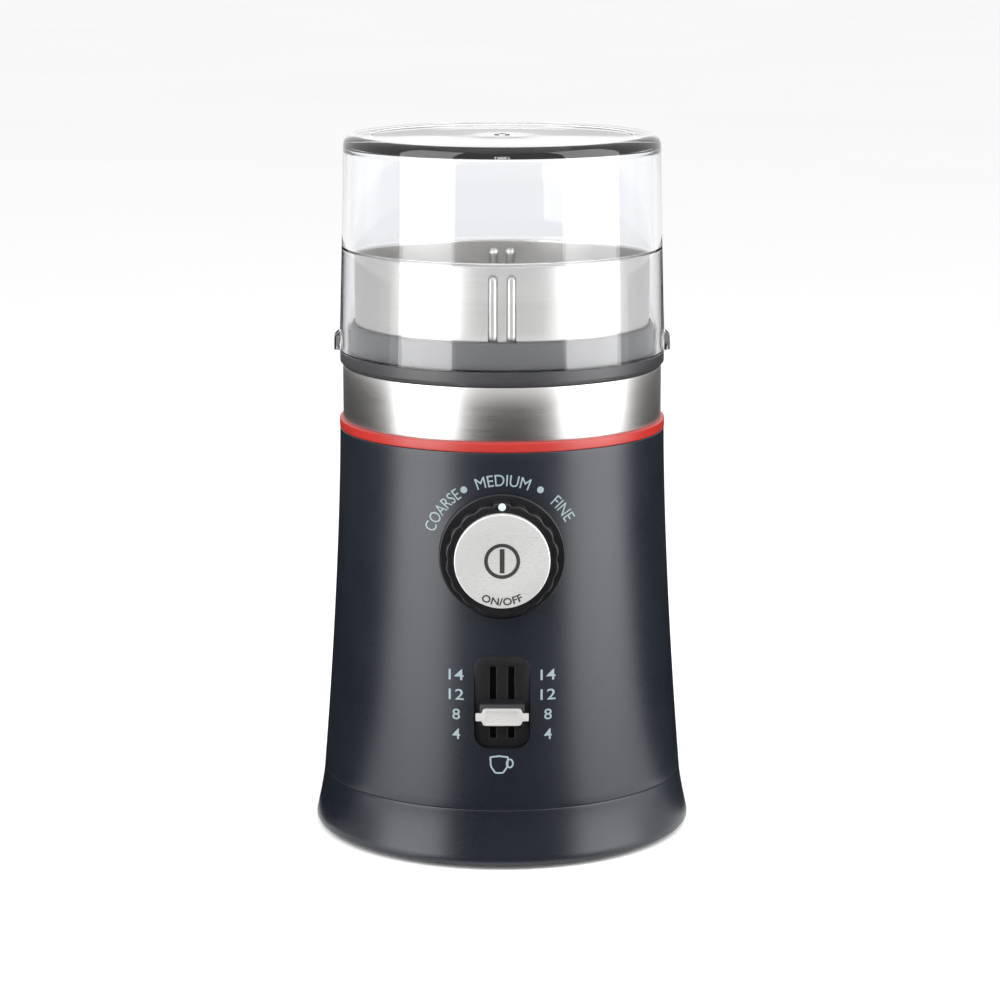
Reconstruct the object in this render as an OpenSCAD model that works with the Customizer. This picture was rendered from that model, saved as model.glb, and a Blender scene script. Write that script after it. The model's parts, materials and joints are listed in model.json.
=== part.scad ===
// Blade coffee grinder: a flared housing with a grind dial, an on/off button and a cup selector,
// a lift-out steel cup with a blade, and a clear lid. The motor hangs inside on rubber mounts.
// Millimetres, +Z up, front is -Y, origin on the table under the middle of the base.

/* [Heights] */
// Gap between the table and the edge of the skirt
foot_gap = 1.5; // [1:0.1:3]
// Height of the skirt below the seam
skirt_h = 16.9; // [14:0.1:22]
// Height of the main housing, from the seam to the accent ring
housing_h = 109.9; // [106:0.02:140]
// Height of the red accent ring
accent_h = 3.1; // [2:0.1:5]
// Height of the steel band
band_h = 16.5; // [13:0.1:22]
// Height of the black rim of the well
rim_h = 4.9; // [4:0.1:7]
// Height of the lid above the rim
lid_h = 67.2; // [55:0.1:85]
// Height of the cup above the rim
cup_stand = 31.5; // [24:0.1:40]

/* [Radii] */
// Outer radius of the housing at its top
top_r = 51.1; // [49:0.02:64]
// How much wider the housing is at the seam than at its top
body_flare = 5.9; // [3:0.1:9]
// How much wider the skirt is at its foot than at the seam
skirt_flare = 2.7; // [1:0.1:5]
// Shape of the housing's flare, 1 is straight
flare_power = 1.54; // [1:0.01:2]
// Shape of the skirt's flare, 1 is straight
skirt_power = 1.35; // [1:0.01:2]
// Height of the rounding under the skirt's edge
skirt_round = 1.6; // [0.8:0.1:2.5]

/* [Walls and clearances] */
// Wall of the housing and of the skirt
wall = 2.4; // [1.8:0.02:3]
// Sheet thickness of the steel band
band_t = 0.45; // [0.3:0.05:1]
// Sheet thickness of the steel cup
cup_t = 0.8; // [0.6:0.1:1.2]
// Gap round pieces that drop or slot in
slip = 0.3; // [0.2:0.05:0.5]
// Radial gap of turning and sliding fits
run_fit = 0.05; // [0.03:0.01:0.1]
// Radial gap between pieces fixed together
seat_fit = 0.05; // [0.02:0.01:0.1]

/* [Lid] */
// How much narrower the lid is at its top than at its foot
lid_draft = 1.6; // [0.5:0.1:2.4]
// Thickness of the lid's side above the ledge
lid_wall = 2.9; // [2:0.1:4]
// Thickness of the lid's skirt below the ledge
lid_skirt_wall = 1.7; // [1.4:0.1:2]
// Thickness of the lid's top
lid_top_t = 4; // [3:0.1:6]
// Radius of the lid's top edge
lid_round = 3.6; // [2:0.1:5]
// Height of the side ears of the lid
ear_h = 5.8; // [4:0.1:8]
// Width of the side ears of the lid
ear_w = 10; // [6:0.5:14]
// How far the ears stand out from the rim
ear_out = 1.9; // [1:0.1:2.5]
// Width of the lugs inside the ears
lug_w = 5; // [3:0.5:7]

/* [Cup and blade] */
// Radius of the round corner between the cup's wall and floor
cup_corner = 22; // [16:0.5:24]
// Height of the grey collar above the rim
collar_show = 8.3; // [6:0.1:11]
// Radius swept by the blade
blade_r = 33; // [26:0.5:36]
// Thickness of the blade
blade_t = 1.8; // [1.2:0.1:2.5]
// Radius of the blade's spindle
spindle_r = 3.5; // [3:0.1:4.5]
// Radius of each flute in the cup's wall
flute_r = 1.35; // [1:0.05:1.8]
// Distance between the two flutes of a pair
flute_gap = 5.6; // [4:0.1:8]

/* [Grind dial and button] */
// Height of the dial's axis above the table
dial_z = 96.8; // [92:0.1:100]
// Outer radius of the dial's bezel
bezel_r = 19.2; // [18:0.02:23.5]
// Outer radius of the ribbed dial
dial_r = 17.2; // [16.5:0.1:17.8]
// Number of grip ribs on the dial
dial_ribs = 18; // [12:1:24]
// Radius of the button
button_r = 14.5; // [13:0.1:14.8]
// How far the button stands out from the dial
button_proud = 1.9; // [1.2:0.1:2]
// Travel of the button
button_travel = 2; // [1:0.1:2.2]
// Radius of the button's stem
stem_r = 6; // [4.5:0.1:6.5]
// Radius of the dial's hub
hub_r = 8.6; // [8:0.1:10]

/* [Cup selector] */
// Height of the selector panel's middle above the table
panel_z = 51.8; // [50:0.1:54]
// Width of the selector panel
panel_w = 17; // [15:0.1:20]
// Height of the selector panel
panel_h = 28.7; // [27.5:0.1:32]
// Corner radius of the selector panel
panel_round = 4.5; // [2:0.1:6]
// Height of the selector's resting place above the table
select_z = 48.4; // [48:0.1:50]
// Distance between two selector settings
select_step = 6.1; // [5:0.1:6.2]
// Width of each slot in the panel
slot_w = 2; // [1.6:0.1:2.6]
// Distance between the two slots
slot_gap = 5.6; // [5:0.1:7]

/* [Motor] */
// Radius of the motor shaft
shaft_r = 3; // [2.5:0.1:3.5]
// Radius of the armature
armature_r = 15; // [12.5:0.5:15.5]
// Height of the iron stack
stack_h = 26; // [20:1:28]
// Air gap between armature and stator
air_gap = 0.6; // [0.4:0.1:0.8]
// Radius of the commutator
commutator_r = 9; // [8:0.1:10]
// Radius of the cooling fan
fan_r = 26; // [20:0.5:30]
// Number of fan blades
fan_blades = 9; // [5:1:12]
// Distance of the motor mounts from the axis
mount_ring_r = 34; // [33:0.5:35]

/* [Base and cord] */
// Radius of the rubber feet
foot_r = 6; // [5:0.5:8]
// Distance of the feet from the axis
foot_ring_r = 45; // [40:0.5:46]
// Distance of the cover screws from the axis
tower_ring_r = 45; // [42:0.5:46]
// Radius of the cord that the gland takes
cord_r = 3.5; // [3:0.1:4]
// Height of the cord gland above the table
gland_z = 30; // [28:0.5:34]

/* [Hidden] */
$fn = 96;
eps = 0.01;

// Heights up the stack
seam_z = foot_gap + skirt_h;
top_z = seam_z + housing_h;
band_z = top_z + accent_h;
rim_z = band_z + band_h;
deck_z = rim_z + rim_h;
lid_z = deck_z + 0.05;
lid_top_z = deck_z + lid_h;
cup_rim_z = deck_z + cup_stand;
collar_top_z = deck_z + collar_show;

// Radii of the stack, from outside in
seam_r = top_r + body_flare;
base_r = seam_r + skirt_flare;
accent_r = top_r + 0.1;
band_r = top_r - 1.05;
rim_r = top_r - 0.2;
seat_r = band_r - band_t - 0.15;
well_wall = 2.4;
pin_r = 0.9;
pin_coil_r = pin_r + 0.45;
pin_wire_r = 0.2;
pin_x = top_r - wall - slip - pin_coil_r - pin_wire_r;
pin_boss_r = pin_r + 1;
well_r = pin_x - pin_boss_r;
collar_r = well_r - slip;
collar_flange_r = well_r + 2.9;
lid_foot_r = rim_r + 0.2;
lid_top_r = lid_foot_r - lid_draft;
lid_skirt_r = lid_foot_r - lid_skirt_wall - 0.4;
ear_span = 10;
lug_h = 6;
cup_r = collar_flange_r - 1.5;
rim_roll = 0.3;
lug_r = cup_r + rim_roll + run_fit + 0.2;

// Housing and skirt outlines
outline_steps = 22;
skirt_steps = 8;
function housing_r(z) = top_r + body_flare * pow(max(0, (top_z - z) / housing_h), flare_power);
function skirt_r(z) =
    seam_r + skirt_flare * pow(max(0, (seam_z - z) / (skirt_h - skirt_round)), skirt_power);
function housing_side(inset) =
    [for (i = [0 : outline_steps])
        let (z = seam_z + housing_h * i / outline_steps) [housing_r(z) - inset, z]];
function skirt_side(inset) =
    [for (i = [0 : skirt_steps])
        let (z = foot_gap + skirt_round + (skirt_h - skirt_round) * i / skirt_steps)
        [skirt_r(z) - inset, z]];

// Depth of the housing's inner face at a distance x from the middle
function inner_depth(x, z) = sqrt(pow(housing_r(z) - wall, 2) - x * x);

// Front controls
dial_front_r = housing_r(dial_z);
bezel_y = -(dial_front_r + 0.6);
bezel_flange_r = bezel_r + 1.8;
bezel_flange_t = 1.5;
bezel_back = -inner_depth(bezel_flange_r, dial_z) + slip + 0.2;
button_t = 2.6;
dial_floor_t = 1.4;
dial_len = button_t - button_proud + button_travel + dial_floor_t + 0.9;
dial_back = bezel_y - slip;
dial_face = dial_back - dial_len;
button_face = dial_face - button_proud;
wiper_t = 1.2;
wiper_y = bezel_back + bezel_flange_t + slip;
contacts_y = wiper_y + wiper_t + slip;
contacts_t = 1.2;
board_t = 1.6;
board_y = contacts_y + contacts_t + 5.2;
board_screw_x = bezel_flange_r + 1;
bracket_r = 3;
bracket_reach = bezel_flange_r + bracket_r + slip + 0.7;
bracket_rise = sqrt(max(100, pow(bracket_reach, 2) - pow(board_screw_x, 2)));
board_w = 2 * (board_screw_x + 4);
board_z0 = panel_z - panel_h / 2 - 6;
board_z1 = dial_z + bracket_rise + 4;
board_screw_z = [board_z0 + 4, board_z1 - 4];
switch_len = button_travel + 2.4;
switch_y = board_y - switch_len;
panel_y = -(housing_r(panel_z + panel_h / 2) - 0.4);
panel_t = 1.8;
panel_lip = 2;
panel_lip_t = 1.5;
panel_lip_depth = inner_depth(panel_w / 2 + panel_lip, panel_z + panel_h / 2 + panel_lip);
panel_back = -panel_lip_depth + slip + panel_lip_t;
slot_z0 = select_z - select_step - 2.1;
slot_z1 = select_z + 2 * select_step + 2.1;
slot_x = slot_gap / 2;
knob_w = 13.6;
knob_h = 8.4;
knob_round = 1.3;
knob_front = panel_y - 5.2;
bar_t = 1.1;
carriage_y = panel_y + panel_t + slip;
carriage_t = 3;

// Well, mounts and motor, measured down from the deck
well_floor_t = 2;
well_floor_z = top_z + 2.2;
well_under_z = well_floor_z - well_floor_t;
well_hole_r = 14;
mount_len = 8;
mount_top_z = well_under_z - 12;
mount_z = mount_top_z - mount_len;
plate_t = 2.5;
plate_z = mount_z + 2.7;
mount_r = 5;
neck_r = 3.6;
screw_r = 1.5;
screw_head_r = 3;
bearing_r = 8;
bearing_h = 5;
bearing_wall = 1.5;
stack_z = plate_z - 10 - stack_h;
stator_x = 58;
stator_y = 48;
stator_bore_r = armature_r + air_gap;
coil_r0 = stator_bore_r + 0.8;
coil_t = 5.4;
end_turn_h = 5.5;
commutator_h = 11;
commutator_z = stack_z - 11 - commutator_h;
lower_plate_z = commutator_z - 6;
bolt_x = 25.5;
bolt_r = 2;
lower_bearing_z = lower_plate_z - bearing_h;
fan_h = 8;
fan_z = lower_bearing_z - bearing_wall - 1.5 - fan_h;
shaft_z0 = fan_z - 2;
shaft_top_z = well_under_z - 1;

// Coupling between motor and cup
drive_teeth = 6;
drive_r = 6.4;
coupling_r = 10.5;
coupling_z = well_under_z - 7;
socket_h = 7;
coupling_h = 9.2;

// Cup
collar_bottom_z = well_floor_z + 0.5;
cup_arc_z = collar_top_z + 2.7;
cup_floor_z = cup_arc_z - cup_corner;
cup_in_z = cup_floor_z + cup_t;
cup_hole_r = 6.2;
bushing_r = 6;
blade_z = cup_in_z + 5;
nut_z = blade_z + blade_t;
nut_h = 3.4;
spindle_top_z = nut_z + nut_h + 1.5;
flute_top_z = cup_rim_z - 3;

// Lid ledge just above the cup's rim
ledge_z = cup_rim_z + 0.6;
lid_in_r = lid_top_r - lid_wall;

// Interlock
pin_foot_h = 2;
pin_stroke = 2.5;
pin_foot_z = well_under_z - pin_stroke - pin_foot_h - 1.6;
switch_top_z = pin_foot_z - 0.9;

// Base
cover_z = foot_gap + 1.5;
cover_t = 2.4;
tower_z = cover_z + cover_t;
cover_r = skirt_r(tower_z) - wall - slip;
tower_r = 4;
tower_top_z = seam_z + 22;
tower_angles = [45, 135, 225, 315];
foot_angles = [0, 90, 180, 270];
well_post_angles = [25, 155, 205, 335];
well_post_ring_r = 38;
well_post_r = 3.5;
well_post_z = well_under_z - 12;
well_lug_t = 3.5;
mount_angles = [45, 135, 225, 315];
gland_r = 5.2;
gland_flange_r = 7.5;
gland_out_y = housing_r(gland_z) + 1.6;
gland_seat_y = housing_r(gland_z) - 0.7;

// Colours
slate = [0.16, 0.18, 0.21];
black = [0.06, 0.06, 0.065];
steel = [0.78, 0.78, 0.77];
iron = [0.45, 0.46, 0.48];
copper = [0.72, 0.42, 0.2];
brass = [0.8, 0.66, 0.34];
red = [0.78, 0.2, 0.15];
clear = [0.85, 0.88, 0.92, 0.35];

// A disc along Z with an optional hole
module disc(r, h, hole = 0) {
    difference() {
        cylinder(r = r, h = h);
        if (hole > 0) translate([0, 0, -1]) cylinder(r = hole, h = h + 2);
    }
}

// A disc that starts at depth y and grows towards +Y, on the axis through x and z
module disc_y(x, y, z, r, h, hole = 0) {
    translate([x, y, z]) rotate([-90, 0, 0]) disc(r, h, hole);
}

// A box given by its two corners
module span(a, b) {
    translate(a) cube(b - a);
}

// A flat outline with round corners, centred
module round_box(w, h, r) {
    square([w - 2 * r, h], center = true);
    square([w, h - 2 * r], center = true);
    for (sx = [-1, 1], sy = [-1, 1])
        translate([sx * (w / 2 - r), sy * (h / 2 - r)]) circle(r = r, $fn = 48);
}

// The same outline standing up, facing the front, from depth y towards +Y
module round_box_y(w, h, r, y, z, depth) {
    translate([0, y, z]) rotate([-90, 0, 0]) linear_extrude(depth) round_box(w, h, r);
}

// Puts its children at each angle on a ring
module around(angles, r, z = 0) {
    for (a = angles) rotate([0, 0, a]) translate([r, 0, z]) children();
}

// A pan-head screw standing on z, head down
module screw_up(shank_r, head_r, head_h, len) {
    difference() {
        union() {
            cylinder(r = head_r, h = head_h, $fn = 48);
            translate([0, 0, head_h]) cylinder(r = shank_r, h = len, $fn = 48);
        }
        for (a = [0, 90]) rotate([0, 0, a])
            translate([-head_r * 0.6, -0.4, -eps]) cube([head_r * 1.2, 0.8, head_h * 0.45]);
    }
}

// Points of a helix wire and the mesh that joins them
function coil_ring(i, n, r, wire_r, h, turns, sides) =
    let (a = 360 * turns * i / n, z = wire_r + (h - 2 * wire_r) * i / n)
    [for (k = [0 : sides - 1])
        let (b = 360 * k / sides)
        [(r + wire_r * cos(b)) * cos(a), (r + wire_r * cos(b)) * sin(a), z + wire_r * sin(b)]];

module coil(r, wire_r, h, turns, rings = 56, sides = 8) {
    points = [for (i = [0 : rings]) each coil_ring(i, rings, r, wire_r, h, turns, sides)];
    sides_faces = [for (i = [0 : rings - 1], k = [0 : sides - 1])
        let (k2 = (k + 1) % sides)
        [i * sides + k, (i + 1) * sides + k, (i + 1) * sides + k2, i * sides + k2]];
    start_cap = [[for (k = [0 : sides - 1]) k]];
    end_cap = [[for (k = [sides - 1 : -1 : 0]) rings * sides + k]];
    polyhedron(points, concat(sides_faces, start_cap, end_cap));
}

// Solid inside of the housing, used to trim ribs and bosses
module housing_inside(inset) {
    rotate_extrude($fn = 128)
        polygon(concat([[0, seam_z]], housing_side(inset), [[0, top_z]]));
}

// Solid inside of the skirt
module skirt_inside(inset) {
    rotate_extrude($fn = 128)
        polygon(concat([[0, foot_gap]], [[skirt_r(foot_gap) - inset, foot_gap]],
            skirt_side(inset), [[0, seam_z]]));
}

module main_housing() {
    lip_h = 3;
    lip_t = 1.1;
    color(slate) difference() {
        union() {
            difference() {
                housing_inside(0);
                translate([0, 0, -eps]) housing_inside(wall);
                translate([0, 0, eps]) housing_inside(wall);
            }
            // lip that drops into the skirt
            translate([0, 0, seam_z - lip_h]) difference() {
                cylinder(r = seam_r - wall + lip_t - 0.1, h = lip_h + 1.5);
                translate([0, 0, -1]) cylinder(r = seam_r - wall - 0.35, h = lip_h + 4);
            }
            intersection() {
                union() {
                    // screw towers that stand on the bottom cover, with a web to the wall
                    around(tower_angles, tower_ring_r, seam_z) {
                        cylinder(r = tower_r, h = tower_top_z - seam_z, $fn = 48);
                        translate([0, -0.9, 0]) cube([20, 1.8, tower_top_z - seam_z]);
                    }
                    // lugs under the posts of the well
                    around(well_post_angles, well_post_ring_r, well_post_z - well_lug_t) {
                        cylinder(r = well_post_r, h = well_lug_t, $fn = 48);
                        translate([0, -well_post_r, 0]) cube([30, 2 * well_post_r, well_lug_t]);
                        translate([0, -0.9, -8]) cube([30, 1.8, 8.5]);
                    }
                    // pillars for the circuit board
                    for (x = [-board_screw_x, board_screw_x], z = board_screw_z)
                        translate([x, board_y, z]) rotate([90, 0, 0])
                            cylinder(r = bracket_r, h = 40, $fn = 48);
                }
                housing_inside(wall / 2);
            }
            // towers below the seam
            around(tower_angles, tower_ring_r, tower_z)
                cylinder(r = tower_r, h = seam_z - tower_z + eps, $fn = 48);
        }
        around(tower_angles, tower_ring_r, tower_z - 1)
            cylinder(r = screw_r + seat_fit, h = 19, $fn = 48);
        around(well_post_angles, well_post_ring_r, well_post_z - well_lug_t - 9)
            cylinder(r = screw_r + 0.2, h = 30, $fn = 48);
        around(well_post_angles, well_post_ring_r, well_post_z - well_lug_t - 9)
            cylinder(r = screw_head_r + 0.3, h = 9, $fn = 48);
        for (x = [-board_screw_x, board_screw_x], z = board_screw_z)
            disc_y(x, board_y - 8, z, screw_r + seat_fit, 9);
        // dial opening, selector opening, cord gland
        disc_y(0, -dial_front_r - 20, dial_z, bezel_r + seat_fit, 30);
        round_box_y(panel_w + 2 * seat_fit, panel_h + 2 * seat_fit, panel_round + seat_fit,
            panel_y - 20, panel_z, 40);
        disc_y(0, 20, gland_z, gland_r + seat_fit, 60);
        disc_y(0, gland_seat_y, gland_z, gland_flange_r + 0.1, 20);
    }
}

module base_skirt() {
    lip_h = 3;
    lip_t = 1.1;
    ledge = 3;
    color(slate) difference() {
        union() {
            difference() {
                skirt_outer();
                translate([0, 0, -eps]) skirt_inside(wall);
                translate([0, 0, eps]) skirt_inside(wall);
            }
            // ledge that the bottom cover closes against
            intersection() {
                translate([0, 0, tower_z]) disc(base_r, 2, skirt_r(tower_z) - wall - ledge);
                skirt_inside(wall / 2);
            }
        }
        translate([0, 0, seam_z - lip_h - 0.1])
            cylinder(r = seam_r - wall + lip_t, h = lip_h + 1);
    }
}

// Outer form of the skirt with its rounded foot
module skirt_outer() {
    steps = 6;
    foot_edge = [for (i = [0 : steps])
        let (a = 90 * i / steps)
        [base_r - skirt_round + skirt_round * sin(a),
            foot_gap + skirt_round - skirt_round * cos(a)]];
    upper = [for (p = skirt_side(0)) if (p[1] > foot_gap + skirt_round + eps) p];
    rotate_extrude($fn = 128)
        polygon(concat([[0, foot_gap]], foot_edge, upper, [[0, seam_z]]));
}

module bottom_cover() {
    vent_rings = [14, 20, 26];
    color(black) difference() {
        union() {
            translate([0, 0, cover_z]) cylinder(r = cover_r, h = cover_t);
            // raised rib round the air inlet
            translate([0, 0, cover_z + cover_t]) disc(34, 3, 32);
        }
        around(foot_angles, foot_ring_r, cover_z - 1) {
            cylinder(r = 2.5 + seat_fit, h = cover_t + 2, $fn = 48);
        }
        around(foot_angles, foot_ring_r, cover_z - 1)
            cylinder(r = foot_r + 0.1, h = 1.8, $fn = 64);
        around(tower_angles, tower_ring_r, cover_z - 1)
            cylinder(r = screw_r + 0.2, h = cover_t + 2, $fn = 48);
        around(tower_angles, tower_ring_r, cover_z - 1)
            cylinder(r = screw_head_r + 0.3, h = 2.2, $fn = 48);
        // curved air slots
        for (r = vent_rings, q = [0 : 5]) rotate([0, 0, q * 60 + 8])
            translate([0, 0, cover_z - 1]) rotate_extrude(angle = 44)
                translate([r - 1.4, 0]) square([2.8, cover_t + 2]);
    }
}

module rubber_feet() {
    color(black) around(foot_angles, foot_ring_r) {
        cylinder(r = foot_r - 0.6, h = 0.61, $fn = 64);
        translate([0, 0, 0.6]) cylinder(r = foot_r, h = cover_z + 0.8 - 0.6, $fn = 64);
        translate([0, 0, cover_z + 0.7]) cylinder(r = 2.5, h = cover_t + 0.5, $fn = 48);
        translate([0, 0, tower_z]) cylinder(r1 = 3.4, r2 = 2, h = 2.2, $fn = 48);
    }
}

module cover_screws() {
    color(iron) around(tower_angles, tower_ring_r, cover_z - 0.7)
        screw_up(screw_r, screw_head_r, 1.9, 14);
}

module accent_ring() {
    bulge = 0.35;
    color(red) rotate_extrude($fn = 128) polygon([
        [seat_r - 0.9, top_z], [accent_r - bulge, top_z], [accent_r, top_z + bulge],
        [accent_r, band_z - bulge], [accent_r - bulge, band_z], [seat_r - 0.9, band_z]]);
}

module steel_band() {
    color(steel) translate([0, 0, band_z]) disc(band_r, band_h, band_r - band_t, $fn = 128);
}

module chamber_well() {
    chamfer = 1.4;
    rib = 2;
    rib_z = [band_z, band_z + band_h / 2 - rib / 2, rim_z - rib];
    outer_r = well_r + well_wall;
    color(black) difference() {
        union() {
            rotate_extrude($fn = 128) polygon([
                [well_hole_r, well_under_z], [seat_r - 1, well_under_z],
                [seat_r - 1, band_z], [outer_r, band_z], [outer_r, rim_z],
                [band_r - band_t, rim_z], [rim_r, rim_z + chamfer], [rim_r, deck_z - 0.5],
                [rim_r - 0.5, deck_z], [well_r, deck_z], [well_r, well_floor_z],
                [well_hole_r, well_floor_z]]);
            for (z = rib_z) translate([0, 0, z]) disc(seat_r, rib, well_r + 1);
            // boss round the interlock pin
            translate([pin_x, 0, band_z]) cylinder(r = pin_boss_r, h = band_h, $fn = 48);
            // posts that the housing's lugs hold
            around(well_post_angles, well_post_ring_r, well_post_z)
                cylinder(r = well_post_r, h = well_under_z - well_post_z + eps, $fn = 48);
            // posts for the motor mounts
            around(mount_angles, mount_ring_r, mount_top_z)
                cylinder(r = 4, h = well_under_z - mount_top_z + eps, $fn = 48);
            // wall that carries the lid switch
            span([pin_x - 8, -9.8, switch_top_z - 9.5], [pin_x - 6.5, 9.8, well_under_z + eps]);
        }
        translate([pin_x, 0, well_under_z - 1])
            cylinder(r = pin_r + run_fit, h = deck_z - well_under_z + 2, $fn = 48);
        around(well_post_angles, well_post_ring_r, well_post_z - 1)
            cylinder(r = screw_r + seat_fit, h = 11, $fn = 48);
        around(mount_angles, mount_ring_r, mount_top_z - 1)
            cylinder(r = screw_r + seat_fit, h = 11, $fn = 48);
        for (y = [-6, 6]) translate([pin_x - 9, y, switch_top_z - 6]) rotate([0, 90, 0])
            cylinder(r = 1.2, h = 4, $fn = 32);
    }
}

module well_screws() {
    color(iron) around(well_post_angles, well_post_ring_r, well_post_z - well_lug_t - 2)
        screw_up(screw_r, screw_head_r, 2, well_lug_t + 8);
}

module dial_bezel() {
    tube_r = hub_r + run_fit;
    color(black) difference() {
        union() {
            disc_y(0, bezel_y, dial_z, bezel_r, bezel_back - bezel_y + eps);
            disc_y(0, bezel_back, dial_z, bezel_flange_r, bezel_flange_t);
        }
        disc_y(0, bezel_y - 1, dial_z, tube_r, 20);
        // hollow behind the face
        disc_y(0, bezel_y + 1.8, dial_z, bezel_r - 2, 20, tube_r + 1.8);
    }
}

module selector_bezel() {
    frame = 1.4;
    color(black) difference() {
        union() {
            round_box_y(panel_w, panel_h, panel_round, panel_y, panel_z, panel_back - panel_y);
            round_box_y(panel_w + 2 * panel_lip, panel_h + 2 * panel_lip, panel_round + panel_lip,
                panel_back - panel_lip_t, panel_z, panel_lip_t);
        }
        round_box_y(panel_w - 2 * frame, panel_h - 2 * frame, panel_round - frame,
            panel_y + panel_t, panel_z, 20);
        for (s = [-1, 1]) span([s * slot_x - slot_w / 2, panel_y - 1, slot_z0],
            [s * slot_x + slot_w / 2, panel_y + panel_t + 1, slot_z1]);
    }
}

module control_board() {
    color([0.1, 0.36, 0.2]) difference() {
        span([-board_w / 2, board_y, board_z0], [board_w / 2, board_y + board_t, board_z1]);
        for (x = [-board_screw_x, board_screw_x], z = board_screw_z)
            disc_y(x, board_y - 1, z, screw_r + 0.1, board_t + 2);
    }
}

module board_screws() {
    color(iron) for (x = [-board_screw_x, board_screw_x], z = board_screw_z)
        translate([x, board_y + board_t + 1.6, z]) rotate([90, 0, 0])
            screw_up(screw_r, 2.6, 1.6, board_t + 6);
}

module power_switch() {
    bore = 1.6 + run_fit;
    color([0.85, 0.85, 0.82]) difference() {
        span([-6, switch_y, dial_z - 6], [6, board_y, dial_z + 6]);
        disc_y(0, switch_y - 1, dial_z, bore, switch_len);
    }
}

module grind_contacts() {
    plate_r = 15;
    color([0.75, 0.7, 0.45]) union() {
        disc_y(0, contacts_y, dial_z, plate_r, contacts_t, stem_r + 1.5);
        for (a = [45 : 90 : 315])
            disc_y(12 * cos(a), contacts_y + contacts_t - eps, dial_z + 12 * sin(a), 1.2,
                board_y - contacts_y - contacts_t + eps);
    }
}

module cup_sensor() {
    body_w = 9;
    lever_slot = 2;
    sensor_y = carriage_y + carriage_t + 3;
    color([0.3, 0.31, 0.33]) difference() {
        span([-body_w / 2, sensor_y, slot_z0 - 4], [body_w / 2, board_y, slot_z1 + 4]);
        span([-lever_slot / 2, sensor_y - 1, slot_z0 - 1], [lever_slot / 2, sensor_y + 4, slot_z1 + 1]);
    }
}

module relay() {
    color([0.15, 0.3, 0.55])
        span([10.5, board_y - 9, board_z0 + 8], [23, board_y, board_z0 + 26]);
}

module capacitor() {
    color([0.85, 0.65, 0.15])
        span([-23, board_y - 8, board_z0 + 8], [-11, board_y, board_z0 + 24]);
}

module lid_switch() {
    color([0.12, 0.12, 0.13]) difference() {
        union() {
            span([pin_x - 6.5, -9.5, switch_top_z - 9.5], [pin_x - 0.4, 9.5, switch_top_z]);
            translate([pin_x - 3.6, 0, switch_top_z - eps])
                cylinder(r = 1.1, h = pin_foot_z - switch_top_z - 0.1, $fn = 32);
            for (y = [-7, 0, 7]) span([pin_x - 4.5, y - 1.6, switch_top_z - 13.5],
                [pin_x - 3.9, y + 1.6, switch_top_z - 9.5 + eps]);
        }
        for (y = [-6, 6]) translate([pin_x - 9, y, switch_top_z - 6]) rotate([0, 90, 0])
            cylinder(r = 1.2, h = 12, $fn = 32);
    }
}

module button_spring() {
    len = switch_y - (button_stem_end() + 1.2);
    color(steel) translate([0, button_stem_end() + 1.2, dial_z]) rotate([-90, 0, 0])
        coil(2.6, 0.3, len, 3);
}

module pin_spring() {
    color(steel) translate([pin_x, 0, pin_foot_z + pin_foot_h])
        coil(pin_coil_r, pin_wire_r, well_under_z - pin_foot_z - pin_foot_h, 4);
}

module cord_gland() {
    inner_y = housing_r(gland_z) - wall - 6;
    color(black) difference() {
        union() {
            disc_y(0, gland_seat_y, gland_z, gland_flange_r, gland_out_y - gland_seat_y);
            disc_y(0, inner_y, gland_z, gland_r, gland_seat_y - inner_y + eps);
            // clip ring inside the wall
            disc_y(0, inner_y, gland_z, gland_r + 1.6, 2.4);
        }
        disc_y(0, inner_y - 1, gland_z, cord_r + 0.2, gland_out_y - inner_y + 2);
    }
}

// Iron frame with a bore, coil pockets and bolt holes
module stator_core() {
    color(iron) translate([0, 0, stack_z]) difference() {
        intersection() {
            translate([-stator_x / 2, -stator_y / 2, 0]) cube([stator_x, stator_y, stack_h]);
            cylinder(r = stator_x / 2 + 3, h = stack_h);
        }
        translate([0, 0, -1]) cylinder(r = stator_bore_r, h = stack_h + 2);
        for (a = coil_leg_angles()) rotate([0, 0, a - 9]) translate([0, 0, -1])
            rotate_extrude(angle = 18)
                translate([coil_r0 - 0.5, 0]) square([coil_t + 0.8, stack_h + 2]);
        for (s = [-1, 1]) translate([s * bolt_x, 0, -1])
            cylinder(r = bolt_r + seat_fit, h = stack_h + 2, $fn = 48);
    }
}

function coil_leg_angles() = [35, 145, 215, 325];

// Each coil is a curved frame round one pole, with its legs in the pockets of the iron
module field_coils() {
    leg = 14;
    first = coil_leg_angles()[0] - leg / 2;
    sweep = coil_leg_angles()[1] + leg / 2 - first;
    window_h = stack_h + 0.6;
    color(copper) for (turn = [0, 180]) rotate([0, 0, turn + first]) difference() {
        translate([0, 0, stack_z - end_turn_h]) rotate_extrude(angle = sweep)
            translate([coil_r0, 0]) square([coil_t, stack_h + 2 * end_turn_h]);
        rotate([0, 0, leg]) translate([0, 0, stack_z - 0.3])
            rotate_extrude(angle = sweep - 2 * leg)
                translate([coil_r0 - 1, 0]) square([coil_t + 2, window_h]);
    }
}

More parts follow.
